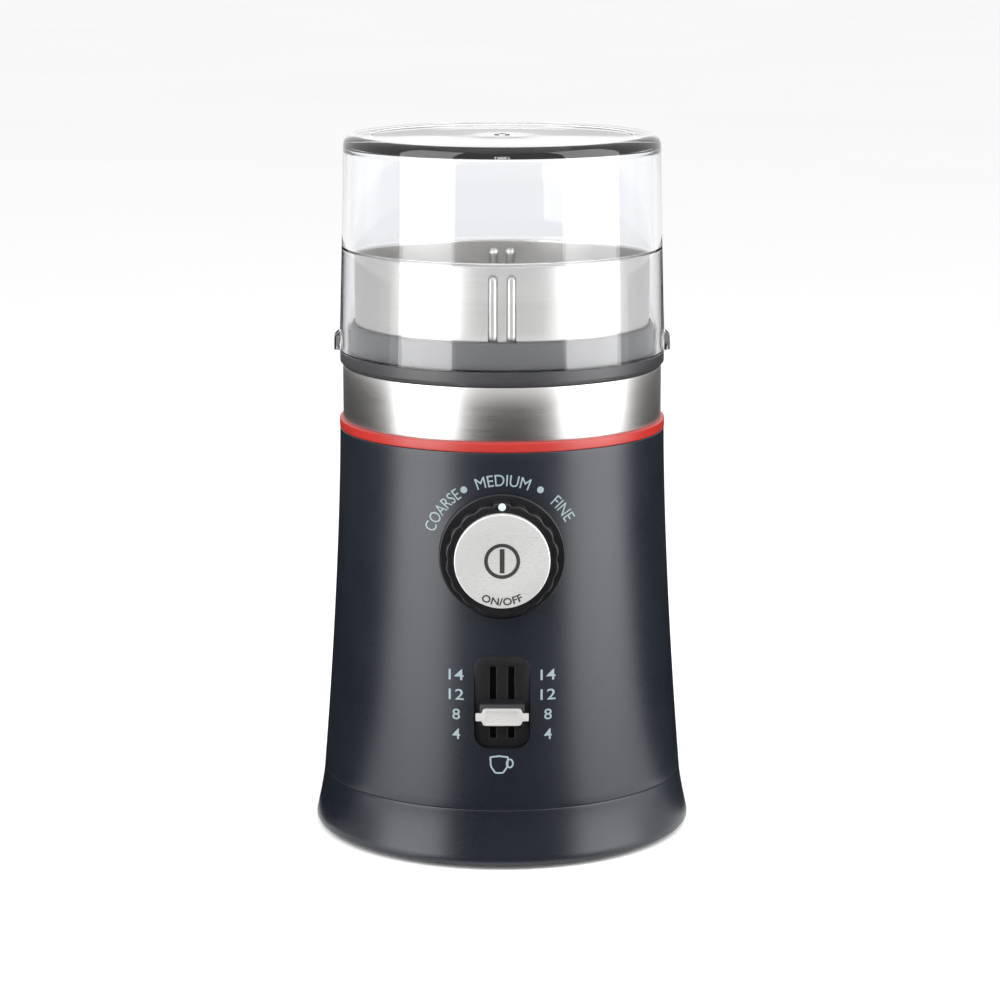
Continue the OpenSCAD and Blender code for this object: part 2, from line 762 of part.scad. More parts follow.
module upper_bracket() {
    cup_h = bearing_h + 1;
    color(iron) difference() {
        union() {
            translate([0, 0, plate_z]) cylinder(r = 30, h = plate_t);
            for (a = mount_angles) rotate([0, 0, a]) translate([0, 0, plate_z]) {
                translate([0, -6.5, 0]) cube([mount_ring_r, 13, plate_t]);
                translate([mount_ring_r, 0, 0]) cylinder(r = 6.5, h = plate_t, $fn = 64);
            }
            translate([0, 0, plate_z]) cylinder(r = bearing_r + bearing_wall, h = cup_h);
            // feet that stand on the iron frame
            for (s = [-1, 1]) translate([s * bolt_x, 0, stack_z + stack_h])
                cylinder(r = 3.4, h = plate_z - stack_z - stack_h + eps, $fn = 48);
        }
        translate([0, 0, plate_z - 1]) cylinder(r = bearing_r + seat_fit, h = bearing_h + 1);
        translate([0, 0, plate_z]) cylinder(r = shaft_r + 1.5, h = cup_h + 1);
        around(mount_angles, mount_ring_r, plate_z - 1)
            cylinder(r = neck_r + seat_fit, h = plate_t + 2, $fn = 48);
        for (s = [-1, 1]) translate([s * bolt_x, 0, stack_z])
            cylinder(r = bolt_r + seat_fit, h = 60, $fn = 48);
        // cooling windows
        for (a = [0 : 90 : 270]) rotate([0, 0, a + 15]) translate([0, 0, plate_z - 1])
            rotate_extrude(angle = 12) translate([14, 0]) square([9, plate_t + 2]);
    }
}

module lower_bracket() {
    block_top = commutator_z + commutator_h;
    color(iron) difference() {
        union() {
            translate([0, 0, lower_plate_z]) cylinder(r = 30, h = 3);
            translate([0, 0, lower_bearing_z - bearing_wall])
                cylinder(r = bearing_r + bearing_wall, h = bearing_h + bearing_wall + eps);
            for (s = [-1, 1]) translate([s * bolt_x, 0, lower_plate_z])
                cylinder(r = 3.4, h = stack_z - lower_plate_z, $fn = 48);
            // seats of the brush holders
            for (s = [-1, 1]) span([min(s * 11, s * 23), -6.5, lower_plate_z],
                [max(s * 11, s * 23), 6.5, block_top]);
        }
        translate([0, 0, lower_bearing_z]) cylinder(r = bearing_r + seat_fit, h = 20);
        translate([0, 0, lower_bearing_z - 5]) cylinder(r = shaft_r + 1.5, h = 20);
        for (s = [-1, 1]) translate([s * bolt_x, 0, lower_plate_z - 1])
            cylinder(r = bolt_r + seat_fit, h = 60, $fn = 48);
        span([-30, -4.5, commutator_z + 1], [-10, 4.5, commutator_z + commutator_h - 1]);
        span([10, -4.5, commutator_z + 1], [30, 4.5, commutator_z + commutator_h - 1]);
        for (a = [60, 120, 240, 300]) rotate([0, 0, a - 15]) translate([0, 0, lower_plate_z - 1])
            rotate_extrude(angle = 30) translate([14, 0]) square([11, 5]);
    }
}

// Ball bearing drawn as one ring with a groove on both faces
module bearing(z) {
    translate([0, 0, z]) difference() {
        disc(bearing_r, bearing_h, shaft_r + run_fit);
        for (h = [-1, bearing_h - 0.8]) translate([0, 0, h])
            disc(bearing_r - 1.4, 1.8, shaft_r + 1.6);
    }
}

module upper_bearing() {
    color(steel) bearing(plate_z);
}

module lower_bearing() {
    color(steel) bearing(lower_bearing_z);
}

module brush_holders() {
    holder_x = bolt_x - bolt_r - 0.8;
    color(brass) for (s = [-1, 1]) difference() {
        span([min(s * 10.4, s * holder_x), -4.4, commutator_z + 1.1],
            [max(s * 10.4, s * holder_x), 4.4, commutator_z + commutator_h - 1.1]);
        span([min(s * 9, s * (holder_x - 1)), -3.2, commutator_z + 2.3],
            [max(s * 9, s * (holder_x - 1)), 3.2, commutator_z + commutator_h - 2.3]);
    }
}

module carbon_brushes() {
    color([0.12, 0.12, 0.12]) for (s = [-1, 1])
        span([min(s * (commutator_r + 0.1), s * 18), -3.1, commutator_z + 2.4],
            [max(s * (commutator_r + 0.1), s * 18), 3.1, commutator_z + commutator_h - 2.4]);
}

module motor_bolts() {
    head = 3;
    color(iron) for (s = [-1, 1]) translate([s * bolt_x, 0, lower_plate_z - head]) {
        cylinder(r = 3.3, h = head, $fn = 6);
        cylinder(r = bolt_r, h = plate_z + plate_t + 3.5 - lower_plate_z + head, $fn = 48);
        translate([0, 0, plate_z + plate_t - lower_plate_z + head])
            cylinder(r = 3.3, h = 2.4, $fn = 6);
    }
}

module motor_mounts() {
    color(black) around(mount_angles, mount_ring_r, mount_z) rotate_extrude($fn = 48) polygon([
        [screw_r + 0.1, 0], [mount_r, 0], [mount_r, plate_z - mount_z],
        [neck_r, plate_z - mount_z], [neck_r, plate_z - mount_z + plate_t],
        [mount_r, plate_z - mount_z + plate_t], [mount_r, mount_len], [screw_r + 0.1, mount_len]]);
}

module motor_screws() {
    color(iron) around(mount_angles, mount_ring_r, mount_z - 2)
        screw_up(screw_r, 3.6, 2, mount_len + 8);
}

module motor_shaft() {
    color(steel) difference() {
        translate([0, 0, shaft_z0]) cylinder(r = shaft_r, h = shaft_top_z - shaft_z0);
        // flat that drives the fan
        span([shaft_r - 0.5, -5, shaft_z0 - 1], [10, 5, fan_z + 5]);
    }
}

module armature_core() {
    slots = 12;
    color(iron) translate([0, 0, stack_z]) difference() {
        disc(armature_r, stack_h, shaft_r + seat_fit);
        for (i = [0 : slots - 1]) rotate([0, 0, i * 360 / slots]) {
            translate([armature_r - 3.2, 0, -1]) cylinder(r = 1.7, h = stack_h + 2, $fn = 32);
            translate([armature_r - 3, -0.6, -1]) cube([5, 1.2, stack_h + 2]);
        }
    }
}

module armature_windings() {
    color(copper) rotate_extrude() union() {
        for (side = [[stack_z, -1], [stack_z + stack_h, 1]])
            polygon([
                [shaft_r + seat_fit, side[0]], [armature_r - 1.6, side[0]],
                [armature_r - 1.6, side[0] + side[1] * 3.5],
                [armature_r - 4, side[0] + side[1] * 5.6],
                [shaft_r + seat_fit, side[0] + side[1] * 5.6]]);
    }
}

module commutator() {
    bars = 24;
    color(copper) translate([0, 0, commutator_z]) difference() {
        union() {
            disc(commutator_r, commutator_h, shaft_r + seat_fit);
            translate([0, 0, commutator_h - eps]) disc(commutator_r + 1, 2, shaft_r + seat_fit);
        }
        for (i = [0 : bars - 1]) rotate([0, 0, i * 360 / bars])
            translate([commutator_r - 0.7, -0.25, -1]) cube([3, 0.5, commutator_h + 4]);
    }
}

module cooling_fan() {
    color(black) difference() {
        union() {
            translate([0, 0, fan_z + fan_h - 1.6]) cylinder(r = fan_r, h = 1.6);
            translate([0, 0, fan_z]) cylinder(r = 6.5, h = fan_h);
            for (i = [0 : fan_blades - 1]) rotate([0, 0, i * 360 / fan_blades])
                translate([5, -0.8, fan_z]) cube([fan_r - 6, 1.6, fan_h - 1]);
        }
        translate([0, 0, fan_z - 1]) cylinder(r = shaft_r + seat_fit, h = fan_h + 2);
    }
}

// Star outline shared by the drive head and its socket
module star(r, gap) {
    circle(r = r - 1.7 + gap);
    for (i = [0 : drive_teeth - 1]) rotate(i * 360 / drive_teeth)
        translate([0, -1.3 - gap]) square([r + gap, 2.6 + 2 * gap]);
}

module drive_coupling() {
    color([0.85, 0.83, 0.78]) difference() {
        union() {
            translate([0, 0, coupling_z - 4]) cylinder(r = 9, h = 3.2);
            translate([0, 0, coupling_z - 1]) linear_extrude(socket_h + 0.4) star(drive_r, 0);
        }
        translate([0, 0, coupling_z - 5]) cylinder(r = shaft_r + seat_fit, h = 30);
    }
}

module driven_coupling() {
    color([0.16, 0.16, 0.17]) difference() {
        union() {
            translate([0, 0, coupling_z]) cylinder(r = coupling_r, h = coupling_h);
        }
        translate([0, 0, coupling_z - 1]) linear_extrude(socket_h + 1) star(drive_r, 0.4);
        translate([0, 0, coupling_z]) cylinder(r = spindle_r + seat_fit, h = 20);
    }
}

// Outline of the cup's outer wall, floor to rim, moved inwards by inset
function cup_side(inset, steps = 10) = concat(
    [for (i = [0 : steps])
        let (a = 90 * i / steps)
        [cup_r - cup_corner + (cup_corner - inset) * sin(a),
            cup_arc_z - (cup_corner - inset) * cos(a)]],
    [[cup_r - inset, cup_rim_z]]);

// Places of the lid's two lugs
module at_lugs() {
    for (a = [0, 180]) rotate([0, 0, a]) children();
}

module cup_form(inset) {
    rotate_extrude($fn = 128)
        polygon(concat([[0, cup_floor_z + inset]], cup_side(inset), [[0, cup_rim_z]]));
}

// Places of the flutes: a pair at the front and a pair at the back
module at_flutes() {
    for (a = [-90, 90], s = [-1, 1]) rotate([0, 0, a])
        translate([cup_r + 0.1, s * flute_gap / 2, 0]) children();
}

module cup() {
    lip = 0.6;
    color(steel) difference() {
        union() {
            difference() {
                cup_form(0);
                cup_form(cup_t);
                translate([0, 0, cup_rim_z - eps]) cylinder(r = cup_r - cup_t, h = 2);
            }
            // rolled rim
            translate([0, 0, cup_rim_z - lip]) disc(cup_r + rim_roll, lip, cup_r - cup_t);
            // ribs that the flutes raise inside
            intersection() {
                at_flutes() translate([0, 0, cup_arc_z])
                    cylinder(r = flute_r + cup_t, h = flute_top_z - cup_arc_z, $fn = 48);
                cup_form(0);
            }
        }
        at_flutes() translate([0, 0, cup_arc_z - 3])
            cylinder(r = flute_r, h = flute_top_z - cup_t - cup_arc_z + 3, $fn = 48);
        translate([0, 0, cup_floor_z - 1]) cylinder(r = cup_hole_r, h = 4);
    }
}

module chamber_collar() {
    web = 2.5;
    collar_wall = 2;
    hub_wall = 3;
    gap = 0.15;
    shoulder = 0.7;
    color([0.3, 0.3, 0.31]) difference() {
        union() {
            difference() {
                rotate_extrude($fn = 128) polygon([
                    [0, collar_bottom_z], [collar_r - 1, collar_bottom_z],
                    [collar_r, collar_bottom_z + 1], [collar_r, deck_z + 0.05],
                    [collar_flange_r, deck_z + 0.05], [collar_flange_r, collar_top_z - shoulder],
                    [collar_flange_r - shoulder, collar_top_z], [0, collar_top_z]]);
                cup_form(-gap);
                // hollow between the cup's corner, the outer wall and the web
                translate([0, 0, collar_bottom_z + web])
                    disc(collar_r - collar_wall, deck_z - 1 - collar_bottom_z - web,
                        bushing_r + hub_wall);
            }
        }
        translate([0, 0, collar_bottom_z - 1]) cylinder(r = bushing_r + seat_fit, h = 30);
        // notches that the lid's lugs drop into
        at_lugs() translate([collar_r + 0.4, -lug_w / 2 - 0.4, deck_z - 1])
            cube([ear_span, lug_w + 0.8, collar_top_z - deck_z + 2]);
    }
}

module blade_bushing() {
    color(brass) difference() {
        union() {
            translate([0, 0, collar_bottom_z])
                cylinder(r = bushing_r, h = cup_in_z - collar_bottom_z + 0.5);
            translate([0, 0, cup_in_z]) cylinder(r = bushing_r + 2, h = 1.2);
        }
        translate([0, 0, collar_bottom_z - 1]) cylinder(r = spindle_r + run_fit, h = 30);
    }
}

module shaft_seal() {
    color(black) translate([0, 0, cup_in_z + 1.2]) disc(6.5, 1.6, spindle_r + run_fit);
}

// One arm of the blade, bent up by rise degrees, with a slanted tip
module blade_arm(rise) {
    root = 11;
    bend = 7.6;
    reach = blade_r - bend - 0.5;
    translate([bend, 0, 0]) rotate([0, -rise, 0]) linear_extrude(blade_t) polygon([
        [-2.5, -root / 2], [0, -root / 2], [reach * 0.5, -root / 2 + 0.8], [reach - 1.5, -1.5],
        [reach, 1.5], [reach * 0.5, root / 2 - 1], [0, root / 2], [-2.5, root / 2]]);
}

module blade() {
    color(steel) difference() {
        union() {
            translate([0, 0, blade_z]) cylinder(r = 8, h = blade_t);
            translate([0, 0, blade_z]) blade_arm(13);
            translate([0, 0, blade_z]) rotate([0, 0, 180]) blade_arm(3);
        }
        translate([0, 0, cup_in_z]) cylinder(r = spindle_r + seat_fit, h = 30);
    }
}

module blade_spindle() {
    color(steel) union() {
        translate([0, 0, coupling_z + socket_h + 0.5])
            cylinder(r = spindle_r, h = spindle_top_z - coupling_z - socket_h - 0.5);
        translate([0, 0, spindle_top_z - eps])
            cylinder(r1 = spindle_r, r2 = spindle_r - 0.8, h = 0.8);
    }
}

module blade_nut() {
    color(steel) translate([0, 0, nut_z]) difference() {
        union() {
            cylinder(r = 7, h = 0.8);
            translate([0, 0, 0.8 - eps]) cylinder(r = 6, h = nut_h, $fn = 6);
        }
        translate([0, 0, -1]) cylinder(r = spindle_r + seat_fit, h = 10);
    }
}

// Lid outline: outer side with draft, rounded top
function lid_side(steps = 8) =
    [for (i = [0 : steps])
        let (t = i / steps, z = lid_z + (lid_top_z - lid_round - lid_z) * t)
        [lid_top_r + (lid_foot_r - lid_top_r) * pow(1 - t, 1.3), z]];
function lid_edge(steps = 8) =
    [for (i = [1 : steps])
        let (a = 90 * i / steps)
        [lid_top_r - lid_round + lid_round * cos(a),
            lid_top_z - lid_round + lid_round * sin(a)]];

module lid() {
    dish_r = lid_top_r - 8.5;
    dish = 0.5;
    color(clear) difference() {
        union() {
            rotate_extrude($fn = 128)
                polygon(concat([[0, lid_z]], lid_side(), lid_edge(), [[0, lid_top_z]]));
            // ears outside
            for (s = [-1, 1]) intersection() {
                translate([s * (lid_foot_r - 2), 0, lid_z - 0.8 + ear_h / 2])
                    rotate([90, 0, s * 90]) linear_extrude(2 + ear_out)
                        round_box(ear_w, ear_h, 2);
                difference() {
                    translate([0, 0, lid_z - 1]) cylinder(r = rim_r + ear_out, h = ear_h + 2);
                    translate([0, 0, lid_z - 2]) cylinder(r = rim_r + slip, h = 2);
                }
            }
        }
        difference() {
            translate([0, 0, lid_z - 1]) cylinder(r = lid_skirt_r, h = ledge_z - lid_z + 1);
            // lugs inside, far enough out to lift past the cup
            at_lugs() translate([lug_r, -lug_w / 2, lid_z]) cube([ear_span, lug_w, lug_h]);
        }
        translate([0, 0, ledge_z - eps])
            cylinder(r1 = lid_in_r + 0.5, r2 = lid_in_r, h = lid_top_z - lid_top_t - ledge_z);
        translate([0, 0, lid_top_z - dish]) difference() {
            cylinder(r = dish_r, h = dish + 1);
            cylinder(r = 2.2, h = dish * 0.6);
        }
    }
}

module dial_knob() {
    rib_depth = 0.9;
    rib_root = dial_r - rib_depth - 0.7;
    color(black) difference() {
        union() {
            disc_y(0, dial_face, dial_z, dial_r - rib_depth, dial_len);
            // grip ribs all round but under the pointer
            for (i = [1 : dial_ribs - 1]) translate([0, dial_face + 0.8, dial_z])
                rotate([-90, 360 * i / dial_ribs - 90, 0]) translate([rib_root, -1.9, 0])
                    cube([dial_r - rib_root, 3.8, dial_len - 1.2]);
            disc_y(0, dial_back - eps, dial_z, hub_r, wiper_y - dial_back + eps);
            // tab under the pointer dot
            span([-2.1, dial_face, dial_z + rib_root], [2.1, dial_back - 0.6, dial_z + dial_r + 0.9]);
        }
        disc_y(0, dial_face - 1, dial_z, button_r + slip, dial_len - dial_floor_t + 1);
        disc_y(0, dial_face - 1, dial_z, stem_r + run_fit, 30);
        disc_y(0, dial_face - 1, dial_z + button_r + slip + 1.45, 1.15, 1.6);
    }
}

module dial_pointer() {
    color([0.85, 0.88, 0.88])
        disc_y(0, dial_face - 0.1, dial_z + button_r + slip + 1.45, 1.15, 0.7);
}

module dial_wiper() {
    color(brass) union() {
        disc_y(0, wiper_y, dial_z, 14, wiper_t, stem_r + run_fit);
    }
}

function button_stem_end() = switch_y - 4;

module button_cap() {
    dish_r = 10.4;
    dish = 0.8;
    color(steel) difference() {
        union() {
            disc_y(0, button_face + 0.5, dial_z, button_r, button_t - 0.5);
            translate([0, button_face, dial_z]) rotate([-90, 0, 0])
                cylinder(r1 = button_r - 0.6, r2 = button_r, h = 0.51);
        }
        translate([0, button_face - eps, dial_z]) rotate([-90, 0, 0])
            cylinder(r1 = dish_r + 1, r2 = dish_r - 3, h = dish);
    }
}

module button_stem() {
    end = button_stem_end();
    back = button_face + button_t;
    color([0.8, 0.8, 0.78]) union() {
        disc_y(0, back, dial_z, stem_r, end - back);
        disc_y(0, end - eps, dial_z, 4, 1.2);
        disc_y(0, end, dial_z, 1.6, switch_y - end + 1);
    }
}

module selector_knob() {
    color(black) union() {
        intersection() {
            translate([0, knob_front, select_z]) rotate([0, 90, 0])
                translate([0, 0, -knob_w / 2]) linear_extrude(knob_w) polygon([
                    [knob_h / 2, panel_y - slip - knob_front], [knob_h / 2 - 0.6, 1.6],
                    [knob_h / 2 - 2, 0], [-knob_h / 2 + 2.6, 0], [-knob_h / 2 + 0.8, 1.8],
                    [-knob_h / 2, panel_y - slip - knob_front]]);
            round_box_y(knob_w, knob_h, knob_round, knob_front - 1, select_z, 10);
        }
        for (s = [-1, 1])
            span([s * slot_x - slot_w / 2 + 0.2, panel_y - slip - eps, select_z - 1.8],
                [s * slot_x + slot_w / 2 - 0.2, carriage_y, select_z + 1.8]);
    }
}

module selector_bar() {
    half = 8.05;
    main = 5.6;
    tall = 2.6;
    tip = 1.2;
    color(steel) translate([0, knob_front - bar_t, select_z]) rotate([-90, 0, 0])
        linear_extrude(bar_t) polygon([
            [-half, -tip], [-main - 0.9, -tip], [-main, -tall], [main, -tall], [main + 0.9, -tip],
            [half, -tip], [half, tip], [main + 0.9, tip], [main, tall], [-main, tall],
            [-main - 0.9, tip], [-half, tip]]);
}

module selector_carriage() {
    color([0.8, 0.8, 0.78]) union() {
        span([-5.2, carriage_y, select_z - 3], [5.2, carriage_y + carriage_t, select_z + 3]);
        span([-0.7, carriage_y + carriage_t - eps, select_z - 1.2],
            [0.7, carriage_y + carriage_t + 6, select_z + 1.2]);
    }
}

module interlock_pin() {
    color([0.85, 0.85, 0.82]) union() {
        translate([pin_x, 0, pin_foot_z])
            cylinder(r = pin_r, h = deck_z - pin_foot_z, $fn = 48);
        span([pin_x - 4.6, -1.8, pin_foot_z], [pin_x + 0.6, 1.8, pin_foot_z + pin_foot_h]);
    }
}

main_housing();
base_skirt();
bottom_cover();
rubber_feet();
cover_screws();
accent_ring();
steel_band();
chamber_well();
well_screws();
dial_bezel();
selector_bezel();
control_board();
board_screws();
power_switch();
grind_contacts();
cup_sensor();
relay();
capacitor();
lid_switch();
stator_core();
field_coils();
upper_bracket();
lower_bracket();
upper_bearing();
lower_bearing();
brush_holders();
carbon_brushes();
motor_bolts();
motor_mounts();
motor_screws();
button_spring();
pin_spring();
cord_gland();
motor_shaft();
armature_core();
armature_windings();
commutator();
cooling_fan();
drive_coupling();
cup();
chamber_collar();
blade_bushing();
shaft_seal();
blade();
blade_spindle();
blade_nut();
driven_coupling();
lid();
dial_knob();
dial_pointer();
dial_wiper();
button_cap();
button_stem();
selector_knob();
selector_bar();
selector_carriage();
interlock_pin();
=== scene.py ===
"""Studio scene of a blade coffee grinder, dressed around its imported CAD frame.

Lengths are in metres, in the frame's own axes: Z up, the dial faces -Y, and the object stands on
Z = 0. Places come from the boxes of the CAD nodes; the fields of each class hold only the sizes
that a box can't give, such as roundings, grooves and the height of a letter.
"""

import json
import logging
import math
from collections.abc import Callable, Iterable, Sequence
from dataclasses import dataclass, field
from enum import Enum
from functools import cache

import bmesh
import bpy
from bpy.types import Material, Node, NodeTree, Object
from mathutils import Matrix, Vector


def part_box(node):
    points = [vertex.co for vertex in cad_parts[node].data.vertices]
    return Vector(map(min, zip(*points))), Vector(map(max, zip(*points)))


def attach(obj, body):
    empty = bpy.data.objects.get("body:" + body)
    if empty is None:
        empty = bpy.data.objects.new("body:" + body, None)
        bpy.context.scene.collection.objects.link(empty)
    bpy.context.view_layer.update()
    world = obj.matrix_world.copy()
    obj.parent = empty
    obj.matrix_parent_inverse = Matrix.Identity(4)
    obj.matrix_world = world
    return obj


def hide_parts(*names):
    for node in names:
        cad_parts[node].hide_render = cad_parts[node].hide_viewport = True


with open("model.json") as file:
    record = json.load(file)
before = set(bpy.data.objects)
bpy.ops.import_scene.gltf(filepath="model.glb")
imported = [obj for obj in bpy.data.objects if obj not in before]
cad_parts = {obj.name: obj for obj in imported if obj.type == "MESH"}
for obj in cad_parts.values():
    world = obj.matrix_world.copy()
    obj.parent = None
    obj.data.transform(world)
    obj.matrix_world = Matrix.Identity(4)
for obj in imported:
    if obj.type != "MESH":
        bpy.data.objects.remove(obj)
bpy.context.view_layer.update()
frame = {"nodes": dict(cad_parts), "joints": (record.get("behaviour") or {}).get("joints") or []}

LOG = logging.getLogger("grinder")
MM = 0.001
SEGMENTS = 288

Vec2 = tuple[float, float]
Vec3 = tuple[float, float, float]
Corner = tuple[float, float, float]
Push = Callable[[float, float, float], float]
Bend = Callable[[float, float, float], Vec3]


class Axis(Enum):
    """The direction that a piece is turned round or drawn out along."""

    SIDE = "x"
    FRONT = "y"
    UP = "z"


class Slot(Enum):
    """The record's material slots."""

    HOUSING = "housing"
    BLACK = "black_plastic"
    ACCENT = "accent"
    STEEL = "brushed_steel"
    COLLAR = "collar_grey"
    CLEAR = "clear_plastic"
    BUTTON = "button_metal"
    POINTER = "pointer_white"
    RUBBER = "rubber"
    NATURAL = "natural_plastic"
    BOARD = "board_green"
    RELAY = "relay_blue"
    CAPACITOR = "capacitor_yellow"
    SENSOR = "sensor_metal"
    ZINC = "zinc_steel"
    BEARING = "bearing_steel"
    IRON = "lamination_iron"
    COPPER = "copper"
    BRASS = "brass"
    CARBON = "carbon"


# ---------------------------------------------------------------- finishes


@dataclass(frozen=True)
class Finish:
    """A surface with its own colour, gloss and worked-in grain.

    Attributes:
        name: What the material is called.
        slot: The record's slot that it belongs to; not used.
        colour: Main colour, linear.
        tint: Colour that the broad drift and the grain fade to.
        metallic: 0 for plastic and paint, 1 for bare metal.
        rough: Lowest and highest roughness over the grain.
        grain: Cells of grain in a metre.
        stretch: How much finer the grain is along X, Y and Z.
        bump: Strength of the grain's relief.
        relief: Depth of the grain's relief in metres.
        drift: Cells in a metre of the broad variation of colour.
        mottle: Share of the tint that the grain itself adds.
        edge_highlight: How much lighter the convex edges are painted, a painted highlight along
            them.
    """

    name: str
    slot: Slot
    colour: Vec3
    tint: Vec3
    metallic: float = 0.0
    rough: Vec2 = (0.35, 0.5)
    grain: float = 2200.0
    stretch: Vec3 = (1.0, 1.0, 1.0)
    bump: float = 0.2
    relief: float = 2e-5
    drift: float = 28.0
    mottle: float = 0.3
    edge_highlight: float = 0.0
    specular: float = 0.5
    anisotropy: float = 0.0
    transmission: float = 0.0
    index: float = 1.5
    sheen: float = 0.0

    @cache
    def material(self) -> Material:
        """Makes the node material once.

        Returns:
            The material, the same one at every call.
        """
        made = bpy.data.materials.new(self.name)
        made.use_nodes = True
        tree = made.node_tree
        shader = tree.nodes["Principled BSDF"]
        self._set_numbers(shader)
        place = tree.nodes.new("ShaderNodeTexCoord")
        stretch = self._node(tree, "ShaderNodeMapping", Scale=self.stretch)
        tree.links.new(place.outputs["Object"], stretch.inputs["Vector"])
        grain = self._node(tree, "ShaderNodeTexNoise", Scale=self.grain, Detail=4.0)
        tree.links.new(stretch.outputs["Vector"], grain.inputs["Vector"])
        drift = self._node(tree, "ShaderNodeTexNoise", Scale=self.drift, Detail=3.0)
        tree.links.new(place.outputs["Object"], drift.inputs["Vector"])
        self._colour(tree, shader, grain, drift)
        self._gloss(tree, shader, grain, drift)
        bump = self._node(tree, "ShaderNodeBump", Strength=self.bump, Distance=self.relief)
        tree.links.new(grain.outputs["Fac"], bump.inputs["Height"])
        tree.links.new(bump.outputs["Normal"], shader.inputs["Normal"])
        return made

    def _set_numbers(self, shader: Node) -> None:
        """Sets what is the same all over the surface.

        Args:
            shader: The material's shader.
        """
        numbers = {
            "Metallic": self.metallic,
            "Specular IOR Level": self.specular,
            "Anisotropic": self.anisotropy,
            "Transmission Weight": self.transmission,
            "IOR": self.index,
            "Sheen Weight": self.sheen,
        }
        for socket, number in numbers.items():
            shader.inputs[socket].default_value = number

    @staticmethod
    def _node(tree: NodeTree, kind: str, **values: object) -> Node:
        """Adds a node and sets its sockets.

        Args:
            tree: The material's nodes.
            kind: Blender's name for the node.
            **values: Socket name and value; an underscore stands for a space.

        Returns:
            The new node.
        """
        made = tree.nodes.new(kind)
        for socket, value in values.items():
            made.inputs[socket.replace("_", " ")].default_value = value
        return made

    def _range(self, tree: NodeTree, source: Node, low: float, high: float) -> Node:
        """Maps the middle of a noise to a span of values.

        Args:
            tree: The material's nodes.
            source: The noise.
            low: Value at the noise's low end.
            high: Value at its high end.

        Returns:
            The mapping node.
        """
        made = self._node(
            tree, "ShaderNodeMapRange", From_Min=0.32, From_Max=0.68, To_Min=low, To_Max=high
        )
        tree.links.new(source.outputs["Fac"], made.inputs["Value"])
        return made

    def _colour(self, tree: NodeTree, shader: Node, grain: Node, drift: Node) -> None:
        """Fades the colour with the drift and the grain, and paints a highlight on the convex
        edges.

        Args:
            tree: The material's nodes.
            shader: The material's shader.
            grain: The fine noise.
            drift: The broad noise.
        """
        broad = self._range(tree, drift, 0.0, 1.0 - self.mottle)
        fine = self._range(tree, grain, 0.0, self.mottle)
        both = tree.nodes.new("ShaderNodeMath")
        tree.links.new(broad.outputs["Result"], both.inputs[0])
        tree.links.new(fine.outputs["Result"], both.inputs[1])
        mixed = tree.nodes.new("ShaderNodeMixRGB")
        mixed.inputs["Color1"].default_value = (*self.colour, 1.0)
        mixed.inputs["Color2"].default_value = (*self.tint, 1.0)
        tree.links.new(both.outputs["Value"], mixed.inputs["Fac"])
        last = mixed
        # Convex edges, found by pointiness, are painted lighter here: a painted highlight in the
        # colour.
        if self.edge_highlight > 0.0:
            edge = tree.nodes.new("ShaderNodeNewGeometry")
            highlight_mask = self._node(
                tree, "ShaderNodeMapRange", From_Min=0.51, From_Max=0.6, To_Max=self.edge_highlight
            )
            tree.links.new(edge.outputs["Pointiness"], highlight_mask.inputs["Value"])
            last = tree.nodes.new("ShaderNodeMixRGB")
            lighter = tuple(min(1.0, 2.2 * c + 0.03) for c in self.colour)
            last.inputs["Color2"].default_value = (*lighter, 1.0)
            tree.links.new(mixed.outputs["Color"], last.inputs["Color1"])
            tree.links.new(highlight_mask.outputs["Result"], last.inputs["Fac"])
        tree.links.new(last.outputs["Color"], shader.inputs["Base Color"])

    def _gloss(self, tree: NodeTree, shader: Node, grain: Node, drift: Node) -> None:
        """Varies the roughness with the grain and, a little, with the drift.

        Args:
            tree: The material's nodes.
            shader: The material's shader.
            grain: The fine noise.
            drift: The broad noise.
        """
        low, high = self.rough
        fine = self._range(tree, grain, low, high)
        smear = self._range(tree, drift, -0.15 * (high - low), 0.35 * (high - low))
        both = tree.nodes.new("ShaderNodeMath")
        tree.links.new(fine.outputs["Result"], both.inputs[0])
        tree.links.new(smear.outputs["Result"], both.inputs[1])
        tree.links.new(both.outputs["Value"], shader.inputs["Roughness"])


PAINT = Finish(
    "slate_metallic_paint", Slot.HOUSING, (0.006, 0.008, 0.013), (0.011, 0.014, 0.02),
    metallic=0.2, rough=(0.26, 0.36), grain=3800.0, bump=0.12, mottle=0.45, specular=0.6,
)
BLACK = Finish(
    "moulded_black_plastic", Slot.BLACK, (0.005, 0.005, 0.006), (0.009, 0.009, 0.01),
    rough=(0.28, 0.4), grain=2600.0, bump=0.1, edge_highlight=0.3, specular=0.34,
)
SATIN_BLACK = Finish(
    "satin_black_rim", Slot.BLACK, (0.018, 0.018, 0.02), (0.03, 0.03, 0.033),
    rough=(0.34, 0.46), grain=2400.0, bump=0.12, edge_highlight=0.2,
)
RED = Finish(
    "red_accent_plastic", Slot.ACCENT, (0.27, 0.01, 0.007), (0.31, 0.014, 0.009),
    rough=(0.3, 0.4), grain=1800.0, bump=0.08,
)
BAND_STEEL = Finish(
    "round_brushed_steel", Slot.STEEL, (0.66, 0.65, 0.64), (0.56, 0.55, 0.54),
    metallic=1.0, rough=(0.27, 0.33), grain=5200.0, stretch=(0.01, 0.01, 1.0), bump=0.05,
    relief=4e-6, drift=20.0, mottle=0.4, anisotropy=0.35,
)
CUP_STEEL = Finish(
    "drawn_cup_steel", Slot.STEEL, (0.62, 0.61, 0.59), (0.5, 0.49, 0.47),
    metallic=1.0, rough=(0.3, 0.36), grain=4800.0, stretch=(0.01, 0.01, 1.0), bump=0.05,
    relief=4e-6, drift=24.0, mottle=0.4, anisotropy=0.3,
)
